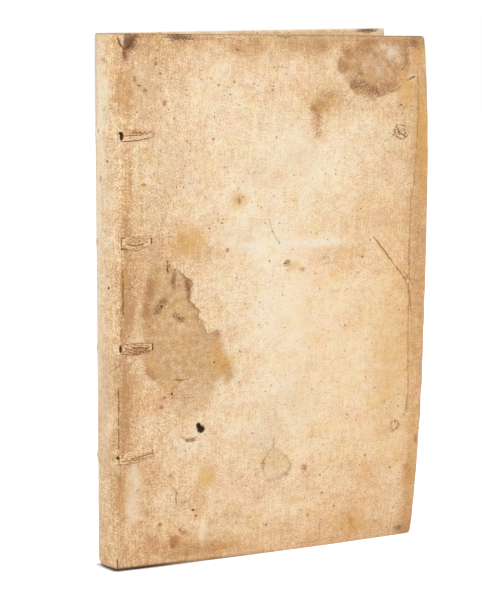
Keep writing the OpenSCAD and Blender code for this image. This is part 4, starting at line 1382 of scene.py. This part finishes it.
# Pasted leaf: fibres, faint chain lines and a soft mottle
old_leaf = paper_shade("old_leaf", 0.22, 0.3, 0.2, (
    ((1.2, 1.2, 1.2), 3, 0.6, 0.2), ((0.9, 0.02, 0.0), 2, 0.5, 0.12), ((0.03, 0.03, 0.03), 5, 0.65, 0.3),
))
thong_skin = plain_shade("thong_skin", rgb(232, 204, 166), rgb(178, 136, 94), 0.4)
pasteboard = plain_shade("pasteboard", rgb(176, 150, 116), rgb(130, 104, 76), 0.4)
old_paper = plain_shade("old_paper", rgb(236, 222, 194), rgb(222, 204, 170), 0.2)
band_thread = plain_shade("band_thread", rgb(214, 196, 164), rgb(160, 130, 96), 0.4)


def fit(made, body, node):
    """Lets a piece ride on a body in place of the solid of that name."""
    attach(made, body)
    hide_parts(node)


def dress_cover(side):
    """All the pieces of one cover."""
    body = side + "_cover"
    skin = cover_skin(side)
    (JOINT_X - 1.2) * MM
    (JOINT_X + 2.2) * MM
    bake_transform(skin)
    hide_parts(side + "_vellum")
    fit(board(side), body, side + "_board")
    fit(paste_leaf(side), body, side + "_pastedown")
    for n in SLIP_ZS:
        fit(slip(side, n), body, f"{side}_slip_{n}")
    for place in TIES:
        fit(tie_stub(side, place), body, f"{side}_tie_{place}")


def dress_block():
    """Leaves, bands and spine."""
    fit(spine_skin(), "root", "spine_vellum")
    fit(text_block(), "root", "text_block")
    fit(end_band("head_band", COVER_H - SQUARE, 1), "root", "headband")
    fit(end_band("tail_band", SQUARE, -1), "root", "tailband")
    finishes = {"thong": thong_skin, "spine_lining": old_paper, "sewing_thread": band_thread}
    for name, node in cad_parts.items():
        for start, finish in finishes.items():
            if name.startswith(start):
                node.data.materials.clear()
                node.data.materials.append(finish)


CAMERA_AZIMUTH = math.radians(-32.033)
CAMERA_PITCH = math.radians(7.062)
CAMERA_ROLL = math.radians(0.463)
CAMERA_LENS = 126.9
CAMERA_DISTANCE = 1368.5
CAMERA_TARGET = Vector((-12.31, 0.0, 159.07))


def camera():
    """Camera at the photograph's angle."""
    data = bpy.data.cameras.new("camera")
    data.sensor_fit = "VERTICAL"
    data.sensor_height = 36
    data.lens = CAMERA_LENS
    data.clip_end = 50
    turned = Matrix.Rotation(CAMERA_AZIMUTH, 4, "Z")
    turned = turned @ Matrix.Rotation(math.pi / 2 - CAMERA_PITCH, 4, "X")
    turned = turned @ Matrix.Rotation(CAMERA_ROLL, 4, "Z")
    back = turned.col[2].xyz
    made = bpy.data.objects.new("camera", data)
    made.matrix_world = Matrix.Translation((CAMERA_TARGET + back * CAMERA_DISTANCE) * MM) @ turned
    bpy.context.scene.collection.objects.link(made)
    bpy.context.scene.camera = made


def area_light(name, place, size, power):
    """Soft round light that faces the middle of the book."""
    data = bpy.data.lights.new(name, "AREA")
    data.shape = "DISK"
    data.size = size
    data.energy = power
    made = bpy.data.objects.new(name, data)
    made.location = place
    made.rotation_euler = (Vector((0, 0, 0.16)) - Vector(place)).to_track_quat("-Z", "Y").to_euler()
    bpy.context.scene.collection.objects.link(made)


def floor_finish():
    """Pale floor that glows for the camera, except in a thin band round the tail of the spine."""
    shade = Finish("floor", 0.9, 0.0)
    x, y, _ = shade.parts(shade.node("TexCoord", ["Object"]))
    half = (x + X_MID * MM) * math.tan(SPLAY) + SPINE_TAIL_W / 2 * MM
    out_x = shade.math("MAXIMUM", abs(x) - (X_MID + 1.0) * MM, 0.0)
    out_y = shade.math("MAXIMUM", abs(y) - half, 0.0)
    away = shade.math("MAXIMUM", shade.step(out_x + out_y, 0.0, 0.004), shade.step(x, -0.1, -0.01))
    shade.put("Emission Color", (1.0, 1.0, 1.0))
    shade.put("Emission Strength", shade.seen(0.0, 0.72) * away)
    return shade.finish((0.86, 0.86, 0.86))


def studio():
    """Pale floor, white surroundings and soft light."""
    world = bpy.data.worlds.new("surroundings")
    bpy.context.scene.world = world
    world.use_nodes = True
    background = world.node_tree.nodes["Background"]
    background.inputs["Color"].default_value = (1, 1, 1, 1)
    shade = Shade(world.node_tree)
    shade.set(background.inputs["Strength"], shade.seen(0.5, 1.0))
    half = 6000.0
    corners = [(-half, -half, 0), (half, -half, 0), (half, half, 0), (-half, half, 0)]
    new_object("floor", corners, [(0, 1, 2, 3)], None, floor_finish())
    area_light("key", (-2.3, -1.95, 2.0), 2.2, 61.5)
    area_light("side", (1.8, -1.2, 1.3), 1.6, 8)
    bpy.context.scene.view_settings.view_transform = "Standard"


camera()
studio()
dress_cover("front")
dress_cover("rear")
dress_block()
